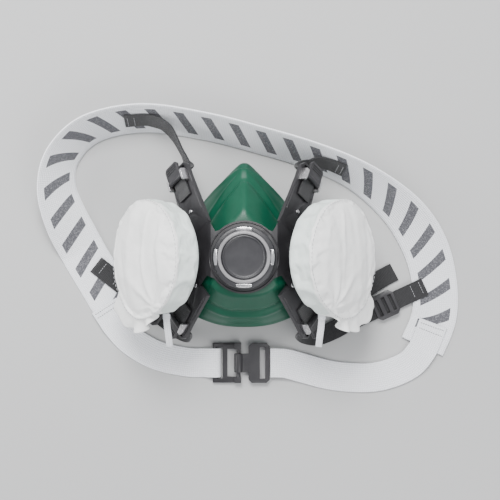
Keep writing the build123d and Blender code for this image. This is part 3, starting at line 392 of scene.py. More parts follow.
def printed_bars(nodes, links, where, base, bars, fuzz):
    colour, pitch, slant, reach = bars
    split = nodes.new("ShaderNodeSeparateXYZ")
    links.new(where.outputs["UV"], split.inputs["Vector"])

    def sum_of(kind, first, second):
        node = nodes.new("ShaderNodeMath")
        node.operation = kind
        for slot_in, value in zip(node.inputs, (first, second)):
            if isinstance(value, (int, float)):
                slot_in.default_value = value
            else:
                links.new(value, slot_in)
        return node.outputs[0]

    leaning = sum_of("ADD", split.outputs["X"], sum_of("MULTIPLY", split.outputs["Y"], slant))
    phase = sum_of("FRACT", sum_of("DIVIDE", leaning, pitch), 0)
    bar = sum_of("LESS_THAN", phase, 0.38)
    inside = sum_of("LESS_THAN", sum_of("ABSOLUTE", split.outputs["Y"], 0), reach)
    worn = sum_of("MULTIPLY", sum_of("MULTIPLY", bar, inside), sum_of("ADD", fuzz, 0.48))
    mixer = nodes.new("ShaderNodeMix")
    mixer.data_type = "RGBA"
    mixer.inputs["B"].default_value = (*colour, 1)
    links.new(worn, mixer.inputs["Factor"])
    links.new(base, mixer.inputs["A"])
    return mixer.outputs["Result"]


WEBBING = woven("black_webbing", (0.022, 0.021, 0.023), (0.006, 0.006, 0.007), 0.0011, 0.0007, 0.7)
PRINT = ((0.075, 0.075, 0.085), 0.0205, 0.55, 0.0115)
ELASTIC = woven("white_elastic", (0.90, 0.905, 0.93), (0.76, 0.77, 0.80), 0.0013, 0.0016, 0.85, PRINT)
PLAIN_ELASTIC = woven("plain_white_elastic", (0.90, 0.905, 0.93), (0.76, 0.77, 0.80), 0.0013, 0.0016, 0.85)
THREAD = woven("sewing_thread", (0.66, 0.67, 0.68), (0.42, 0.42, 0.44), 0.0008, 0.0008, 0.7)
DARK_THREAD = woven("black_thread", (0.05, 0.05, 0.055), (0.015, 0.015, 0.017), 0.0008, 0.0008, 0.6)
print(len(bpy.data.materials), "finishes")

# %% [markdown]
# ## Hard parts
# The plastic and steel pieces come from the frame with knife-sharp edges, and sharp edges catch no
# light. Each one is copied, its flat faces are merged back into whole faces, and a small bevel rounds
# the edges. The copy stands in for the original, which stays put underneath.

# %% A rounded copy of a hard part
def rounded(node, finish, radius=0.35, segments=2, angle=28):
    source = frame["nodes"][node]
    work = bmesh.new()
    work.from_mesh(source.data)
    bmesh.ops.remove_doubles(work, verts=work.verts, dist=2e-6)
    flat = radians(1.2)
    bmesh.ops.dissolve_limit(work, angle_limit=flat, verts=work.verts, edges=work.edges)
    mesh = bpy.data.meshes.new(node + "_shell")
    work.to_mesh(mesh)
    work.free()
    obj = bpy.data.objects.new(node + "_shell", mesh)
    place(obj, source["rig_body"], finish)
    bevel = obj.modifiers.new("edge", "BEVEL")
    bevel.width = radius * MM
    bevel.segments = segments
    bevel.limit_method = "ANGLE"
    bevel.angle_limit = radians(angle)
    bevel.harden_normals = True
    bevel.use_clamp_overlap = True
    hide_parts(node)
    return obj


def pair(node):
    return [node + "_right", node + "_left"]


HARD = [
    (["front_yoke"], BLACK_PLASTIC, 0.6, 3),
    (["valve_cover_bezel", "valve_cover_skirt"], CHARCOAL, 0.25, 2),
    (["valve_cover_grips", "yoke_rivets"], STEEL, 0.3, 2),
    (pair("inlet_collar"), CHARCOAL, 0.3, 2),
    (pair("upper_buckle") + pair("lower_buckle"), STEEL, 0.25, 2),
    (pair("upper_lever") + pair("lower_lever"), BLACK_PLASTIC, 0.25, 2),
    (["side_slide_right", "side_slide_left", "clasp_loop", "clasp_hook"], BLACK_PLASTIC, 0.4, 3),
]
for names, finish, radius, segments in HARD:
    for name in names:
        rounded(name, finish, radius, segments)
print("rounded", sum(len(names) for names, *_ in HARD), "hard parts")

# %% Finishes of the parts that keep their own shape
KEEP = {
    "valve_housing": GREY_PLASTIC,
    "exhalation_flap": SILICONE,
    "cover_gasket": BLACK_RUBBER,
    "inhalation_seat": GREY_PLASTIC,
    "inhalation_flap": SILICONE,
    "seat_screws": STEEL,
    "canister_gasket": BLACK_RUBBER,
    "canister_shell": PALE_PLASTIC,
    "retainer_grille": PALE_PLASTIC,
    "inner_screen": SCREEN,
    "outer_screen": SCREEN,
    "carbon_bed": CARBON,
    "particulate_filter": FILTER_FELT,
    "upper_pin": STEEL,
    "lower_pin": STEEL,
}
for name, obj in frame["nodes"].items():
    finish = KEEP.get(name) or KEEP.get(name.rsplit("_", 1)[0])
    if finish:
        obj.data.materials.clear()
        obj.data.materials.append(finish)
print("parts that keep their shape:", len(KEEP))

# %% [markdown]
# ## The green cup
# The facepiece is one moulding in soft rubber. It is a pear-shaped tube of rings that narrows
# towards the valve, flattened where the two canisters screw on, and it turns in at the bottom into
# the lip that seals on the face. The net below walks round each ring while its rows go from the
# valve's hole, down the outside, under the lip and back up the inside, so the wall has a real
# thickness. A bead follows the widest line and a step marks the flange over the nose and chin.

# %% Ring sizes: height, half width, nose and chin
CUP = [
    (0.0, 49.0, 57.0, -44.0),
    (14.0, 52.5, 64.0, -49.5),
    (28.0, 51.0, 68.0, -51.0),
    (40.0, 42.5, 66.0, -47.0),
    (52.0, 34.5, 53.0, -38.0),
    (62.0, 28.5, 39.5, -31.0),
    (68.0, 25.5, 31.0, -27.0),
]
WIDEST_Y = -8.0
WALL = 1.8
LIP = 1.6
LIP_OPENING = (40.5, 56.0, -39.0)


def ring_sizes(height):
    low = max(k for k in range(len(CUP) - 1) if CUP[k][0] <= height or k == 0)
    z0, z1 = CUP[low][0], CUP[low + 1][0]
    f = min(max((height - z0) / (z1 - z0), 0), 1)
    sizes = []
    for part in (1, 2, 3):
        before = CUP[max(low - 1, 0)]
        after = CUP[min(low + 2, len(CUP) - 1)]
        a, b = CUP[low][part], CUP[low + 1][part]
        ta = (b - before[part]) / max(z1 - before[0], 1) * (z1 - z0)
        tb = (after[part] - a) / max(after[0] - z0, 1) * (z1 - z0)
        h = f * f * (3 - 2 * f)
        sizes.append(a * (1 - h) + b * h + ta * f * (1 - f) ** 2 - tb * f * f * (1 - f))
    return sizes


def ring_point(sizes, turn):
    half, nose, chin = sizes
    up, down = nose - WIDEST_Y, WIDEST_Y - chin
    right = [
        (0.14 * half, nose - 0.05 * up),
        (0.50 * half, nose - 0.31 * up),
        (0.84 * half, nose - 0.64 * up),
        (half, WIDEST_Y),
        (0.85 * half, WIDEST_Y - 0.64 * down),
        (0.46 * half, chin + 0.07 * down),
    ]
    loop = [(0, nose), *right, (0, chin), *[(-x, y) for x, y in reversed(right)]]
    place_on = turn * len(loop)
    k = int(place_on) % len(loop)
    f = place_on - int(place_on)
    p = [loop[(k + j - 1) % len(loop)] for j in range(4)]
    return [
        0.5
        * (
            2 * p[1][i]
            + (p[2][i] - p[0][i]) * f
            + (2 * p[0][i] - 5 * p[1][i] + 4 * p[2][i] - p[3][i]) * f * f
            + (3 * p[1][i] - p[0][i] - 3 * p[2][i] + p[3][i]) * f**3
        )
        for i in (0, 1)
    ]


def face_line(y):
    if y > 9:
        return 78 - sqrt(78**2 - min(y - 9, 60) ** 2)
    if y < -9:
        return 84 - sqrt(84**2 - min(-9 - y, 60) ** 2)
    return 0.0


print("cup half width at the seal", CUP[0][1], "mm")


# %% One point of the cup's skin, pressed flat against the port planes
def flatten(x, y, z, gap):
    side = 1 if x >= 0 else -1
    limit = PORT_X - gap / OUT.x - OUT.z / OUT.x * (z - PORT_Z)
    across, along = y, (z - PORT_Z) / RISE.z
    boss = 1 - smoothstep(20.5, 26.0, hypot(across, along))
    if z > 8:
        x = side * (min(abs(x), limit) * (1 - boss) + limit * boss)
    return x, y, z


def inset_sizes(height, inset):
    half, nose, chin = ring_sizes(height)
    return half - inset, nose - inset * 1.15, chin + inset


def cup_rows(turns):
    rows = []
    for radius, height in ((16.9, 66.2), (16.9, 67.6), (17.3, 67.95), (21.0, 68.0)):
        rows.append([(radius * sin(tau * t), radius * cos(tau * t), height) for t in turns])
    steps = 46
    for k in range(steps + 1):
        down = k / steps
        row = []
        for t in turns:
            z = 67.9 - 66.0 * down
            for _ in range(3):
                x, y = ring_point(ring_sizes(z), t)
                z = 67.9 + (face_line(y) + 1.7 - 67.9) * down
            bead = 1.0 * bump_at(z, face_line(y) + 22, 2.6) * smoothstep(8, 30, abs(y + 8))
            step = -1.3 * bump_at(z, 49.5, 1.6) + 0.9 * bump_at(z, 46.2, 1.6)
            step *= smoothstep(10, 22, abs(y + 4))
            x, y = ring_point(inset_sizes(z, -(bead + step) + 1.2 * bump_at(down, 0, 0.012)), t)
            row.append(flatten(x, y, z, 0.04))
        rows.append(row)
    for k in range(1, 5):
        lean = k / 4 * pi / 2
        row = []
        for t in turns:
            x, y = ring_point(inset_sizes(face_line(0) + 1.0, 1.6 * (1 - cos(lean))), t)
            row.append((x, y, face_line(y) + 1.7 * (1 - sin(lean)) + 0.02))
        rows.append(row)
    for k in range(1, 9):
        inward = k / 8
        row = []
        for t in turns:
            outer = ring_point(inset_sizes(1.0, 1.6), t)
            inner = ring_point(LIP_OPENING, t)
            x, y = [a + (b - a) * inward for a, b in zip(outer, inner)]
            row.append((x, y, face_line(y) + 0.25 * sin(pi * inward)))
        rows.append(row)
    for k in range(9):
        back = k / 8
        row = []
        for t in turns:
            inner = ring_point(LIP_OPENING, t)
            outer = ring_point(inset_sizes(3.0, 2.4), t)
            x, y = [a + (b - a) * back for a, b in zip(inner, outer)]
            row.append((x, y, face_line(y) + LIP + 0.9 * back * back))
        rows.append(row)
    for k in range(1, 31):
        up = k / 30
        row = []
        for t in turns:
            z = 3 + 63 * up
            for _ in range(3):
                x, y = ring_point(inset_sizes(z, WALL), t)
                z = face_line(y) + 3.0 + (66.15 - face_line(y) - 3.0) * up
            row.append(flatten(x, y, z, 2.24))
        rows.append(row)
    return rows


TURNS = [k / 196 for k in range(196)]
cup_mesh_rows = [[at(*p) for p in row] for row in cup_rows(TURNS)]
facepiece = net("facepiece_skin", cup_mesh_rows, wrap_rows=True, wrap_columns=True)
face_out(facepiece)
place(facepiece, "mask", GREEN)
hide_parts("facepiece")
print("facepiece", len(facepiece.data.polygons), "faces")


# %% Holes for the two inlet spigots
def port_plug(side):
    bpy.ops.mesh.primitive_cylinder_add(vertices=64, radius=14.9 * MM, depth=30 * MM)
    plug = bpy.context.object
    plug.rotation_mode = "QUATERNION"
    outward = Vector((OUT.x * SIDES[side], 0, OUT.z))
    plug.rotation_quaternion = outward.to_track_quat("Z", "Y")
    plug.location = port(side, 0, 0, -3)
    return plug


plugs = [port_plug(side) for side in SIDES]
for plug in plugs:
    cut = facepiece.modifiers.new("port", "BOOLEAN")
    cut.operation = "DIFFERENCE"
    cut.object = plug
bpy.context.view_layer.update()
apply_all(facepiece)
for plug in plugs:
    bpy.data.objects.remove(plug)
for face in facepiece.data.polygons:
    face.use_smooth = True
print("facepiece with ports", len(facepiece.data.polygons), "faces")

# %% [markdown]
# ## Cloth covers on the canisters
# A white cover is drawn over each canister like a shower cap: a puffed front, a band round the side
# with a sewn ridge, and an elastic hem behind. At one low corner the cloth is pinched and tied, so
# folds fan out from there, and the spare cloth flares below into a wavy tail. The cover starts as a
# net of rings about the canister's axis, pushed in and out by a few long folds. A short cloth
# simulation then grows the cloth a little, so that it buckles into creases of its own.

# %% Section of the cover: distance from the axis, distance out from the port
COVER_SECTION = [
    (24.6, 17.0), (24.9, 15.9), (26.2, 15.5), (30.0, 15.4), (34.0, 15.6), (37.0, 16.5),
    (38.6, 18.2), (39.1, 20.5), (39.3, 24.0), (39.4, 28.0), (39.4, 31.6), (39.5, 34.0),
    (39.9, 35.0), (40.5, 35.5), (40.5, 36.0), (39.9, 36.7), (39.2, 37.5), (38.0, 38.9),
    (35.8, 40.6), (32.0, 42.2), (26.0, 43.7), (19.0, 44.7), (12.0, 45.3), (6.0, 45.6), (0.0, 45.7),
]
PINCH = (-35.0, 15.0)
TAIL_TURN = radians(200)
CAN_EDGE, CAN_FRONT = 36.5, 35.4
# each fold: where it crosses, its width, its height and how far it sways
FOLDS = {
    "right": [(8, 1.7, 1.3, 2.5), (-12, 4.2, 1.2, 3), (27, 3.4, 1.1, 2), (-25, 3.6, -1.1, 2), (-2, 3.2, -1.0, 3), (17, 3.6, -0.8, 3)],
    "left": [(11, 1.6, 1.3, 2.0), (-8, 4.6, 1.3, 3), (29, 3.0, 1.1, 2), (-22, 4.0, -1.2, 3), (2, 3.4, -0.9, 3), (20, 3.2, -0.8, 2)],
}


def along_section(steps):
    lengths = [0.0]
    for (r0, z0), (r1, z1) in zip(COVER_SECTION, COVER_SECTION[1:]):
        lengths.append(lengths[-1] + hypot(r1 - r0, z1 - z0))
    out = []
    for k in range(steps + 1):
        target = lengths[-1] * k / steps
        j = max(i for i in range(len(lengths) - 1) if lengths[i] <= target + 1e-9)
        f = (target - lengths[j]) / (lengths[j + 1] - lengths[j])
        (r0, z0), (r1, z1) = COVER_SECTION[j], COVER_SECTION[j + 1]
        out.append((r0 + (r1 - r0) * f, z0 + (z1 - z0) * f))
    return out


def long_folds(x, y, side):
    total = 0.0
    for centre, width, height, sway in FOLDS[side]:
        middle = centre + sway * sin(x / 19 + centre)
        total += height * bump_at(y, middle, width) * (0.65 + 0.35 * sin(x / 23 + centre * 0.7))
    return total


def cover_point(side, angle, radius, height):
    x, y = radius * cos(angle), radius * sin(angle)
    seed = 31.0 if side == "right" else 77.0
    away = hypot(x - PINCH[0], y - PINCH[1])
    fan = atan2(y - PINCH[1], x - PINCH[0])
    fan_fold = 1.9 * cos(9 * fan + seed) * exp(-away / 26) * away / (away + 6)
    fan_fold += 0.8 * cos(17 * fan + seed * 2) * exp(-away / 15) * away / (away + 4)
    soft = noise.noise(Vector((x / 17, y / 17, height / 17 + seed)))
    fine = noise.noise(Vector((x / 6, y / 6, height / 6 + seed)))
    flare = bump_at((angle - TAIL_TURN + pi) % tau - pi, 0, 0.62)
    push = 1.1 * soft + 0.3 * fine
    if height > 37.2:
        fade = smoothstep(37.2, 39.5, height)
        height += fade * (push + fan_fold + long_folds(x, y, side) * smoothstep(39, 31, radius))
        rim = smoothstep(26, 39, radius)
        radius += rim * (3.6 * flare + 0.8 * soft)
        height = max(height - 2.2 * rim * flare, CAN_FRONT + 0.9)
    else:
        pleat = 0.5 * cos(15 * angle + seed) * smoothstep(34, 18, height)
        if radius > 36:
            wide = smoothstep(22, 36, height)
            radius = max(radius + 0.8 * soft + pleat + 3.6 * flare * wide, CAN_EDGE + 0.9)
            height += 0.5 * push * wide
        else:
            height = min(height + 0.4 * pleat - 0.4 * fine, 17.1)
    return port(side, radius * cos(angle), radius * sin(angle), height)


def cover_net(side):
    section = along_section(72)
    angles = [tau * k / 150 for k in range(150)]
    rows = [[cover_point(side, a, r, z) for a in angles] for r, z in section]
    return net("filter_cover_" + side + "_cloth", rows, wrap_columns=True)


# %% Let the cloth relax, then keep it clear of the canister
def port_axis(side):
    return Vector((OUT.x * SIDES[side], 0, OUT.z))


def keep_clear(side, spot, room=0.9):
    offset = (spot - port(side, 0, 0, 0)) / MM
    high = offset.dot(port_axis(side))
    out = offset - port_axis(side) * high
    to_front, to_edge = CAN_FRONT + room - high, CAN_EDGE + room - out.length
    if high > 17.5 and to_front > 0 and to_edge > 0:
        if to_front < to_edge:
            high = CAN_FRONT + room
        else:
            out *= (CAN_EDGE + room) / out.length
    return port(side, 0, 0, 0) + (port_axis(side) * high + out) * MM


def relax(obj, side, frames=20, furthest=2.6):
    start = [v.co.copy() for v in obj.data.vertices]
    hold = obj.vertex_groups.new(name="hold")
    for v in obj.data.vertices:
        offset = (v.co - port(side, 0, 0, 0)) / MM
        high = offset.dot(port_axis(side))
        hold.add([v.index], 1.0 if high < 19 else 0.75 * bump_at(high, 35.6, 0.9), "REPLACE")
    cloth = obj.modifiers.new("cloth", "CLOTH")
    settings = cloth.settings
    settings.quality = 6
    settings.mass = 0.12
    settings.tension_stiffness = settings.compression_stiffness = 18
    settings.shear_stiffness = 6
    settings.bending_stiffness = 0.25
    settings.use_pressure = True
    settings.uniform_pressure_force = 4
    settings.shrink_min = settings.shrink_max = -0.045
    settings.vertex_group_mass = "hold"
    settings.effector_weights.gravity = 0
    cloth.collision_settings.use_collision = False
    for step in range(1, frames + 1):
        bpy.context.scene.frame_set(step)
    apply_all(obj)
    bpy.context.scene.frame_set(1)
    moved = 0.0
    for v, was in zip(obj.data.vertices, start):
        step = v.co - was
        if step.length > furthest * MM:
            step = step.normalized() * furthest * MM
        v.co = keep_clear(side, was + step)
        moved = max(moved, (v.co - was).length / MM)
    print("cloth relaxed by up to", round(moved, 2), "mm")


# %% The flared tail below each cover
TAIL_EDGE = [(-34, 13), (-43, 8), (-51, -2), (-53, -15), (-49, -30), (-39, -44), (-26, -38)]


def along_points(points, t):
    spans = len(points) - 1
    place_on = min(max(t, 0), 1) * spans
    k = min(int(place_on), spans - 1)
    f = place_on - k
    p = [points[min(max(k + j - 1, 0), spans)] for j in range(4)]
    return [
        0.5
        * (
            2 * p[1][i]
            + (p[2][i] - p[0][i]) * f
            + (2 * p[0][i] - 5 * p[1][i] + 4 * p[2][i] - p[3][i]) * f * f
            + (3 * p[1][i] - p[0][i] - 3 * p[2][i] + p[3][i]) * f**3
        )
        for i in range(len(points[0]))
    ]


def tail_net(side):
    rows = []
    waves = 5.5 if side == "right" else 4.5
    for k in range(17):
        out = k / 16
        row = []
        for j in range(121):
            t = j / 120
            outer = along_points(TAIL_EDGE, t)
            turn = atan2(outer[1], outer[0])
            flare = bump_at((turn - TAIL_TURN + pi) % tau - pi, 0, 0.62)
            root = 39.6 + 3.2 * flare
            scallop = 1 + 0.09 * out * cos(tau * waves * t)
            x, y = [a + (b - a) * out * scallop for a, b in zip((root * cos(turn), root * sin(turn)), outer)]
            wave = 3.4 * out**1.2 * sin(tau * waves * t + 0.9) * sin(pi * min(t * 1.4 + 0.12, 1)) ** 0.5
            wave += 0.9 * out * noise.noise(Vector((x / 6, y / 6, waves)))
            row.append(port(side, x, y, 35.2 - 2.0 * out + wave))
        rows.append(row)
    return net("tail_" + side, rows)


def cloth_shell(obj, thickness):
    shell = obj.modifiers.new("cloth thickness", "SOLIDIFY")
    shell.thickness = thickness * MM
    shell.offset = 0
    return apply_all(obj)


# %% Sew cover and tail together
def build_cover(side):
    body = cover_net(side)
    tail = tail_net(side)
    for piece in (body, tail):
        bpy.context.scene.collection.objects.link(piece)
        face_out(piece)
    relax(body, side)
    smoother = body.modifiers.new("finer", "SUBSURF")
    smoother.levels = smoother.render_levels = 1
    apply_all(body)
    for v in body.data.vertices:
        v.co = keep_clear(side, v.co, 0.7)
    cloth_shell(body, 0.7)
    cloth_shell(tail, 0.8)
    cover = join_meshes("filter_cover_" + side + "_cloth_piece", [body, tail])
    place(cover, "mask", COVER_CLOTH)
    # Painted shade: faces on the side band below the sewn ridge take the darker, greener copy of the cover cloth.
    cover.data.materials.append(SHADED_SIDE_CLOTH)
    for face in cover.data.polygons:
        offset = (face.center - port(side, 0, 0, 0)) / MM
        high = offset.dot(port_axis(side))
        if high < 34.4 and (offset - port_axis(side) * high).length < 41.5:
            face.material_index = 1
    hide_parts("filter_cover_" + side)
    return cover


covers = {side: build_cover(side) for side in SIDES}
print("cover faces", {side: len(c.data.polygons) for side, c in covers.items()})


# %% Stitches along the sewn ridge
def stitch(name_points, along, thickness):
    middle, direction, up = name_points
    across = direction.cross(up).normalized()
    half = along / 2
    ring = []
    for k in range(6):
        f = k / 5
        bow = sin(pi * f)
        centre = middle + direction * (half * (2 * f - 1)) + up * (thickness * 0.55 * bow)
        size = thickness * (0.35 + 0.65 * bow) / 2
        ring.append([centre + across * (size * cos(a)) + up * (size * sin(a)) for a in (tau * j / 6 for j in range(6))])
    return ring


def stitches(name, stations, along, thickness, finish, body="mask"):
    work = bmesh.new()
    for station in stations:
        rings = [[work.verts.new(p) for p in ring] for ring in stitch(station, along * MM, thickness * MM)]
        for first, second in zip(rings, rings[1:]):
            for j in range(6):
                k = (j + 1) % 6
                work.faces.new((first[j], first[k], second[k], second[j]))
        work.faces.new(list(reversed(rings[0])))
        work.faces.new(rings[-1])
    mesh = bpy.data.meshes.new(name)
    bmesh.ops.recalc_face_normals(work, faces=work.faces)
    work.to_mesh(mesh)
    work.free()
    return place(bpy.data.objects.new(name, mesh), body, finish)


def seam_stations(side):
    stations = []
    for k in range(84):
        a = tau * k / 84
        here = cover_point(side, a, 39.9, 36.9)
        ahead = cover_point(side, a + 0.02, 39.9, 36.9)
        up = (here - port(side, 0, 0, 33)).normalized()
        stations.append((here + up * 0.3 * MM, (ahead - here).normalized(), up))
    return stations


for side in SIDES:
    row = stitches("cover_seam_" + side, seam_stations(side), 1.9, 0.42, THREAD)
print("two rows of seam stitches")

# %% [markdown]
# ## Straps
# Straps are flat and never stretch sideways, so they are swept, not draped: a line of stations gives
# the middle of the strap and which way its width points, and a rounded rectangle travels along it.
# The crown band stands on its lower edge where it arches behind the mask and lies flat where it
# meets the neck straps. Each strap's UV map runs in metres along and across it.

# %% The crown band's line over the table, with the tilt of its width
CROWN_LINE = [
    (-96, -40, 0), (-109, -18, 0), (-122, 4, 0), (-134, 29, 24), (-140, 52, 42), (-135, 75, 52),
    (-114, 95, 57), (-75, 103, 58), (-30, 97, 59), (10, 87, 59), (50, 75, 58), (86, 59, 52),
    (117, 35, 34), (135, 9, 12), (143, -18, 0), (143, -45, 0), (134, -68, 0),
]
CROWN_WIDTH, NECK_WIDTH, WEBBING_WIDTH = 34.0, 22.0, 14.0
BAND_THICK, WEBBING_THICK = 1.4, 1.2
FLAT = BAND_THICK / 2 + 0.1


def held_height(points, t):
    spot = Vector(along_points(points, t))
    spans = len(points) - 1
    k = min(int(min(max(t, 0), 1) * spans), spans - 1)
    low, high = sorted((points[k][2], points[k + 1][2]))
    spot.z = min(max(spot.z, low), high)
    return spot


def crown_stations():
    count = (len(CROWN_LINE) - 1) * 3
    stations = []
    for k in range(count + 1):
        here = held_height(CROWN_LINE, k / count)
        run = held_height(CROWN_LINE, min(k / count + 0.002, 1)) - held_height(CROWN_LINE, max(k / count - 0.002, 0))
        outward = Vector((-run.y, run.x, 0)).normalized()
        lean = radians(here.z)
        width = outward * cos(lean) + Vector((0, 0, sin(lean)))
        height = CROWN_WIDTH / 2 * sin(lean) + BAND_THICK / 2 * cos(lean) + 0.1
        stations.append(((here.x, here.y, height), tuple(width)))
    return stations


def strap_frame(stations, t):
    points = [p for p, _ in stations]
    centre = held_height(points, t)
    along = (held_height(points, min(t + 0.002, 1)) - held_height(points, max(t - 0.002, 0))).normalized()
    place_on = min(max(t, 0), 1) * (len(stations) - 1)
    k = min(int(place_on), len(stations) - 2)
    f = place_on - k
    across = Vector(stations[k][1]).normalized() * (1 - f) + Vector(stations[k + 1][1]).normalized() * f
    across = (across - along * across.dot(along)).normalized()
    return centre, along, across, along.cross(across)


CROWN = crown_stations()
print("crown band stations", len(CROWN))


# %% Sweep a strap
def strap_section(width, thickness, roll):
    half, thin = width / 2, thickness / 2
    top = []
    steps = 14
    for k in range(steps + 1):
        w = -half + thin + (width - thickness) * k / steps
        edge = smoothstep(half - 3.2, half - 1.0, abs(w)) * roll
        top.append((w, thin + edge))
    cap = [(half - thin + thin * sin(a), (thin + roll * 0.5) * cos(a)) for a in (pi * k / 6 for k in range(1, 6))]
    bottom = [(w, -h) for w, h in reversed(top)]
    other = [(-w, -h) for w, h in cap]
    return top + cap + bottom + other


def strap(name, stations, width, thickness, finish, body="mask", roll=0.0, pieces=6, ripple=0.0):
    section = strap_section(width, thickness, roll)
    count = (len(stations) - 1) * pieces
    rows, maps, run, last = [], [], 0.0, None
    for k in range(count + 1):
        centre, along, across, face = strap_frame(stations, k / count)
        if last is not None:
            run += (centre - last).length
        last = centre
        row, uv = [], []
        for w, h in section:
            shift = ripple * sin(run / 3.1 + 0.8 * sin(w / 4)) * smoothstep(width / 2, width / 2 - 4, abs(w))
            p = centre + across * w + face * (h + shift * (1 if h > 0 else 0.4))
            row.append(at(*p))
            uv.append((run * MM, w * MM))
        rows.append(row)
        maps.append(uv)
    obj = net(name, rows, wrap_columns=True, uv=maps)
    mesh = bmesh.new()
    mesh.from_mesh(obj.data)
    mesh.verts.ensure_lookup_table()
    size = len(section)
    mesh.faces.new([mesh.verts[j] for j in range(size)])
    mesh.faces.new([mesh.verts[count * size + j] for j in reversed(range(size))])
    bmesh.ops.recalc_face_normals(mesh, faces=mesh.faces)
    mesh.to_mesh(obj.data)
    mesh.free()
    place(obj, body, finish)
    for face in obj.data.polygons:
        if len(face.vertices) > 4:
            face.use_smooth = False
    return obj


crown_band = strap("crown_elastic", CROWN, CROWN_WIDTH, BAND_THICK, ELASTIC, roll=0.15, pieces=4, ripple=0.05)
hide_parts("crown_band")
print("crown band faces", len(crown_band.data.polygons))


# %% Webbing that runs under a cam and down through an arm's slot
ARM_ROOT = (18.0, 17.0)
UPPER_PIN, LOWER_PIN = (55.0, -3.2), (-46.0, -4.0)
SLOT_CENTRE = 6.9


def arm_axes(pin):
    root = ARM_ROOT if pin[0] > 0 else (-ARM_ROOT[0], ARM_ROOT[1])
    reach = Vector((pin[0] - root[0], pin[1] - root[1])).normalized()
    along = Vector((0, 1, 0)) * reach.x + RISE * reach.y
    return port_mm(pin[0], pin[1], 2.6), along, along.cross(OUT)


def through_slot(pin, side):
    start, along, across = arm_axes(pin)
    flat = 1.52
    path = [(-15, 1.0), (-9, 1.1), (-5, flat), (2.4, flat), (SLOT_CENTRE - 1.7, 0.95)]
    path += [(SLOT_CENTRE - 0.2, -1.1), (SLOT_CENTRE + 0.2, -3.4), (SLOT_CENTRE + 0.3, -8.0)]
    turn = -1 if pin[0] > 0 else 1
    stations = []
    for s, h in path:
        p = start + along * s + OUT * h
        stations.append(((side * p.x, p.y, p.z), (side * turn * across.x, turn * across.y, turn * across.z)))
    return stations


def on_crown(t, lift):
    centre, along, across, face = strap_frame(CROWN, t)
    if face.z < 0:
        face = -face
    return (tuple(centre + face * lift), tuple(across))


LIFT = BAND_THICK / 2 + 0.3 + WEBBING_THICK / 2
ON_BAND = 2 * FLAT - 0.1 + 0.15 + WEBBING_THICK / 2
LAPPED = 2 * FLAT - 0.1 + 0.15 + BAND_THICK / 2
DOUBLED = ON_BAND + WEBBING_THICK + 0.15
CLASP_Y, CLASP_Z = -80.0, 3.6

STRAPS = {
    "upper_strap_right": through_slot(UPPER_PIN, 1)
    + [((41, 63, 27), (-0.3, 0.8, 0.5)), ((46, 66.5, 19.5), (-0.1, 0.5, 0.86))]
    + [on_crown(10.1 / 16, LIFT + 3.0), on_crown(10.333 / 16, LIFT + 0.3), on_crown(10.667 / 16, LIFT)],
    "upper_strap_left": through_slot(UPPER_PIN, -1)
    + [((-41, 65, 27), (0.2, 0.5, 0.8)), ((-46, 77, 20), (0.1, 0.3, 0.95)), ((-53, 90, 16.5), (0.1, 0.5, 0.86))]
    + [on_crown(7.35 / 16, LIFT + 4.0), on_crown(7.15 / 16, LIFT + 1.2)]
    + [on_crown(7.0 / 16, LIFT + 0.1), on_crown(6.667 / 16, LIFT)],
    "lower_strap_right": through_slot(LOWER_PIN, 1)
    + [((41, -54, 24), (-0.5, -0.8, 0.35)), ((44, -58, 12), (-0.1, -0.95, 0.3))]
    + [((54, -60, 4.4), (0.25, -0.95, 0.05)), ((66, -56, ON_BAND), (0.42, -0.9, 0))]
    + [((x, y, ON_BAND), (0.421, -0.907, 0)) for x, y in ((80, -48.67), (100, -39.38), (120, -30.1), (136, -22.67))],
    "lower_strap_left": through_slot(LOWER_PIN, -1)
    + [((-41, -54, 24), (0.3, -0.9, 0.3)), ((-42, -57, 13), (-0.1, -0.97, 0.15)), ((-48, -55.5, 5), (-0.5, -0.85, 0))]
    + [((x, y, ON_BAND), (-0.618, -0.786, 0)) for x, y in ((-57, -49.2), (-70, -38.98), (-91, -22.47), (-112, -5.96))],
    "strap_free_end": [
        ((72, -52.4, DOUBLED), (0.421, -0.907, 0)),
        ((76.5, -45.5, DOUBLED), (0.7, -0.7, 0)),
        ((81, -36.5, DOUBLED), (0.8, -0.6, 0)),
        ((87, -28, DOUBLED), (0.6, -0.8, 0)),
        ((96, -21, 1.4), (0.5, -0.866, 0)),
        ((104, -16.3, FLAT), (0.5, -0.866, 0)),
        ((113, -11.5, FLAT), (0.47, -0.88, 0)),
    ],
}
for name, stations in STRAPS.items():
    webbing = strap(name + "_webbing", stations, WEBBING_WIDTH, WEBBING_THICK, WEBBING)
    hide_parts(name)
print(len(STRAPS), "black straps")

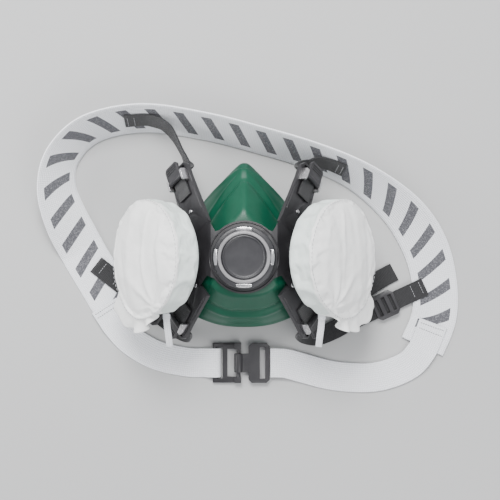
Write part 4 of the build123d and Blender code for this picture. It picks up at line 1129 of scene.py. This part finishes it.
# %% The two neck straps
NECK_RIGHT = [
    ((142.3, -50, LAPPED), (0.97, -0.2, 0)), ((138.5, -60, LAPPED), (0.92, -0.38, 0)),
    ((133, -71.5, LAPPED), (0.8, -0.6, 0)), ((122, -83, FLAT), (0.55, -0.83, 0)),
    ((98, -91, FLAT), (0.15, -0.99, 0)), ((68, -90, FLAT), (-0.1, -0.99, 0)),
    ((44, -84, FLAT + 0.8), (-0.25, -0.97, 0)), ((32, -80.6, CLASP_Z - 0.4), (-0.1, -1, 0)),
    ((25, CLASP_Y, CLASP_Z), (0, -1, 0)), ((19.5, CLASP_Y, CLASP_Z), (0, -1, 0)),
]
NECK_LEFT = [
    ((-105.8, -36.9, LAPPED), (-0.84, -0.55, 0)), ((-100.9, -44.4, LAPPED), (-0.84, -0.55, 0)),
    ((-95.5, -52.5, 1.7), (-0.8, -0.6, 0)), ((-84, -64.5, FLAT), (-0.65, -0.76, 0)),
    ((-66, -74.5, FLAT), (-0.35, -0.94, 0)), ((-44, -79.5, FLAT), (-0.1, -0.99, 0)),
    ((-31, CLASP_Y, FLAT + 0.3), (0, -1, 0)), ((-26.4, CLASP_Y, 3.1), (0, -1, 0)),
    ((-22.3, CLASP_Y, 3.9), (0, -1, 0)), ((-20.0, CLASP_Y, 3.8), (0, -1, 0)),
    ((-18.8, CLASP_Y, 2.6), (0, -1, 0)), ((-18.5, CLASP_Y, 1.0), (0, -1, 0)),
]
neck_right = strap("neck_elastic_right", NECK_RIGHT, NECK_WIDTH, BAND_THICK, PLAIN_ELASTIC, body=None, roll=0.1, ripple=0.04)
neck_left = strap("neck_elastic_left", NECK_LEFT, NECK_WIDTH, BAND_THICK, PLAIN_ELASTIC, roll=0.1, ripple=0.04)
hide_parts("neck_strap_left")
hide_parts("neck_strap_right")
print("neck straps made")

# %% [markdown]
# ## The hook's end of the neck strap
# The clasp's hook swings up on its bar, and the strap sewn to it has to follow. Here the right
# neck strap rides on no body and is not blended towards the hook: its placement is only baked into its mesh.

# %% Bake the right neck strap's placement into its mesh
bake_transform(neck_right)

# %% Sewn ends: rows of thread across each lapped joint
def lap_rows(stations, first, last, width, thickness, rows=2, pitch=1.9):
    out = []
    for r in range(rows):
        t = first + (last - first) * (r + 0.5) / rows
        centre, along, across, face = strap_frame(stations, t)
        up = face if face.z > 0 else -face
        count = int((width - 3) / pitch)
        for k in range(count):
            w = -(width - 3) / 2 + pitch * (k + 0.5)
            p = centre + across * w + up * (thickness / 2 + 0.05)
            out.append((at(*p), across.copy(), up))
    return out


LAPS = [
    ("lap_neck_right", NECK_RIGHT, 0.02, 0.10, NECK_WIDTH, BAND_THICK, DARK_THREAD),
    ("lap_neck_left", NECK_LEFT, 0.015, 0.075, NECK_WIDTH, BAND_THICK, DARK_THREAD),
    ("lap_lower_right", STRAPS["lower_strap_right"], 0.945, 0.995, WEBBING_WIDTH, WEBBING_THICK, THREAD),
    ("lap_lower_left", STRAPS["lower_strap_left"], 0.93, 0.995, WEBBING_WIDTH, WEBBING_THICK, THREAD),
    ("lap_upper_right", STRAPS["upper_strap_right"], 0.95, 0.995, WEBBING_WIDTH, WEBBING_THICK, THREAD),
    ("lap_upper_left", STRAPS["upper_strap_left"], 0.95, 0.995, WEBBING_WIDTH, WEBBING_THICK, THREAD),
]
for name, stations, first, last, width, thickness, finish in LAPS:
    rows = lap_rows(stations, first, last, width, thickness)
    piece = stitches(name, rows, 1.5, 0.38, finish)
print(len(LAPS), "sewn laps")

# %% [markdown]
# ## Ties at the pinches
# A narrow tape is knotted round each pinched corner and its end hangs loose. The knot is three
# wraps of the same tape, a little uneven, and the loose end curls as it falls.

# %% Knots and loose ends
def build_tie(side):
    knot = port_mm(-CAN_EDGE - 5.6, 4, 20)
    wraps = []
    for k in range(3):
        ring_points = []
        tilt = (k - 1) * 0.35
        for j in range(28):
            a = tau * j / 28
            x = 2.2 * cos(a)
            z = 2.2 * sin(a)
            y = (k - 1) * 1.1 + tilt * sin(a)
            ring_points.append(Vector((x, y, z)))
        rows = []
        for j, p in enumerate(ring_points):
            outward = Vector((p.x, 0, p.z)).normalized()
            row = []
            for i in range(8):
                b = tau * i / 8
                q = knot + p + outward * (0.5 * cos(b)) + Vector((0, 0.95, 0)) * sin(b)
                row.append(at(q.x * SIDES[side], q.y, q.z))
            rows.append(row)
        wraps.append(net("wrap", rows, wrap_rows=True, wrap_columns=True))
    x, y, z = knot.x, knot.y, knot.z
    fall = [
        ((x, y - 1.0, z), (1, 0, 0)),
        ((x - 0.4, y - 7, z - 1.2), (1, 0, 0.06)),
        ((x - 1.2, y - 15, z - 4.6), (1, 0, 0.1)),
        ((x - 1.6, y - 22, z - 10.5), (1, 0, 0.15)),
    ]
    mirrored = [((SIDES[side] * p[0], p[1], p[2]), (w[0], w[1], SIDES[side] * w[2])) for p, w in fall]
    tape = strap("tie_tape_" + side, mirrored, 4.6, 0.9, PLAIN_ELASTIC, pieces=8)
    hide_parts("cover_tie_" + side)
    whole = join_meshes("tie_knot_" + side, wraps)
    face_out(whole)
    place(whole, "mask", PLAIN_ELASTIC)
    return whole


for side in SIDES:
    build_tie(side)
print("ties made")

# %% [markdown]
# ## Valve cover
# The cover that hides the exhalation valve is the middle of the mask, so it gets its own care: fine
# turned rings round the rim, a shallow dish in the blank cap and four bright grips. The pale grey
# ring round the rim is a painted highlight: the charcoal plastic is coloured lighter there.

# %% Turned rings and a dished cap
def turned(name, profile, finish, body, centre=(0, 0, 0), steps=128):
    rows = []
    for r, z in profile:
        rows.append([at(centre[0] + r * cos(tau * k / steps), centre[1] + r * sin(tau * k / steps), z) for k in range(steps)])
    obj = net(name, rows, wrap_columns=True)
    face_out(obj)
    return place(obj, body, finish)


COVER_TOP = 84.6
cap_profile = [(15.25, 82.45), (15.3, 83.9), (15.2, 84.25), (14.9, 84.5), (14.4, 84.6), (13.9, 84.5)]
cap_profile += [(13.7, 84.15), (13.4, 84.0), (12.6, 83.92), (9.0, 83.84), (4.0, 83.8), (0.0, 83.8)]
cap = turned("valve_cap_disc", cap_profile, CHARCOAL, "valve_cover")
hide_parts("valve_cover_cap")
# Painted highlight: the sloped ring round the cap is coloured pale grey where the light would catch it.
ring = turned(
    "valve_ring_painted_highlight",
    [(15.9, 84.9), (16.05, 85.15), (16.6, 85.22), (17.3, 85.1), (17.9, 84.85), (18.25, 84.45), (18.2, 84.2)],
    PAINTED_HIGHLIGHT_GREY,
    "valve_cover",
)
print("valve cover rings made")

# %% [markdown]
# ## Ribs on the black yoke
# Thin half-round ribs stiffen the yoke: one follows the rim round the valve and two run along each
# strap arm. They are tubes along a line of points, half sunk into the plate.

# %% Ribs
YOKE_TOP, YOKE_BEND, YOKE_THICK = 70.6, 23.3, 2.6


def tube(name, points, radius, finish, body, closed=False):
    rows = []
    for k, p in enumerate(points):
        before, after = points[k - 1], points[(k + 1) % len(points)]
        if not closed:
            before, after = points[max(k - 1, 0)], points[min(k + 1, len(points) - 1)]
        along = (after - before).normalized()
        across = along.cross(Vector((0, 0, 1))).normalized()
        up = across.cross(along)
        size = radius if closed or 0 < k < len(points) - 1 else radius * 0.4
        rows.append([at(*(p + across * size * cos(tau * j / 10) + up * size * sin(tau * j / 10))) for j in range(10)])
    obj = net(name, rows, wrap_rows=closed, wrap_columns=True)
    if not closed:
        ends = bmesh.new()
        ends.from_mesh(obj.data)
        ends.verts.ensure_lookup_table()
        ends.faces.new([ends.verts[j] for j in range(10)])
        ends.faces.new([ends.verts[len(ends.verts) - 1 - j] for j in range(10)])
        ends.to_mesh(obj.data)
        ends.free()
    face_out(obj)
    place(obj, body, finish)
    return obj


def yoke_height(x):
    return YOKE_TOP - max(abs(x) - YOKE_BEND, 0) * OUT.x / OUT.z


rim = [Vector((24.3 * cos(tau * k / 120), 24.3 * sin(tau * k / 120), 0)) for k in range(120)]
for p in rim:
    p.z = yoke_height(p.x)
tube("yoke_rim_rib", rim, 0.55, BLACK_PLASTIC, "mask", closed=True)
for side, sign in SIDES.items():
    for label, pin in (("upper", UPPER_PIN), ("lower", LOWER_PIN)):
        start, along, across = arm_axes(pin)
        for edge in (-1, 1):
            line = []
            for k in range(13):
                s = -31 + 22 * k / 12
                p = start + along * s + across * (edge * (12 + 3 * (-s - 4) / 38 - 1.5))
                line.append(Vector((sign * p.x, p.y, p.z)))
            tube(f"arm_rib_{label}_{side}_{'outer' if edge > 0 else 'inner'}", line, 0.6, BLACK_PLASTIC, "mask")
print("yoke ribs", 1 + 8)

# %% [markdown]
# ## Table, light and camera
# The table is plain and pale. One large soft light hangs a little behind the nose end, a weaker one
# fills from the chin, and a narrow strip grazes from the left to draw highlights along the black
# arms and the folds of the cloth. The camera looks straight down.

# %% Table
bpy.ops.mesh.primitive_plane_add(size=6, location=(0, 0, -0.0002))
table = bpy.context.object
table.name = "table_top"
table_finish, *_ = new_finish("pale_table", (0.44, 0.44, 0.437), 0.7)
table.data.materials.append(table_finish)
table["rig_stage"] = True


# %% Lights
def soft_light(name, spot, aim, size, power, size_y=None):
    lamp = bpy.data.lights.new(name, "AREA")
    lamp.energy = power
    lamp.size = size
    if size_y:
        lamp.shape = "RECTANGLE"
        lamp.size_y = size_y
    holder = bpy.data.objects.new(name, lamp)
    bpy.context.scene.collection.objects.link(holder)
    holder.location = spot
    holder.rotation_mode = "QUATERNION"
    holder.rotation_quaternion = (Vector(aim) - Vector(spot)).to_track_quat("-Z", "Y")
    return holder


soft_light("key", (-0.12, 0.72, 1.05), (0, 0, 0.03), 0.6, 27)
soft_light("fill", (0.55, -0.75, 0.9), (0, 0, 0.03), 0.9, 9.5)
soft_light("strip", (-0.95, 0.05, 0.42), (0, 0, 0.04), 0.9, 6.5, 0.15)
world = bpy.data.worlds.new("room")
world.use_nodes = True
world.node_tree.nodes["Background"].inputs["Color"].default_value = (0.93, 0.95, 1.0, 1)
world.node_tree.nodes["Background"].inputs["Strength"].default_value = 0.8
bpy.context.scene.world = world

# %% Camera
low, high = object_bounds()
view = bpy.data.cameras.new("above")
view.lens = 85
view.sensor_width = 36
camera = bpy.data.objects.new("above", view)
bpy.context.scene.collection.objects.link(camera)
width = max(high.x - low.x, high.y - low.y)
distance = width / 0.86 / (36 / 85)
camera.location = ((low.x + high.x) / 2, (low.y + high.y) / 2, distance + 0.03)
camera.rotation_euler = (0, 0, 0)
bpy.context.scene.camera = camera
print("camera", round(distance, 3), "m above the table")
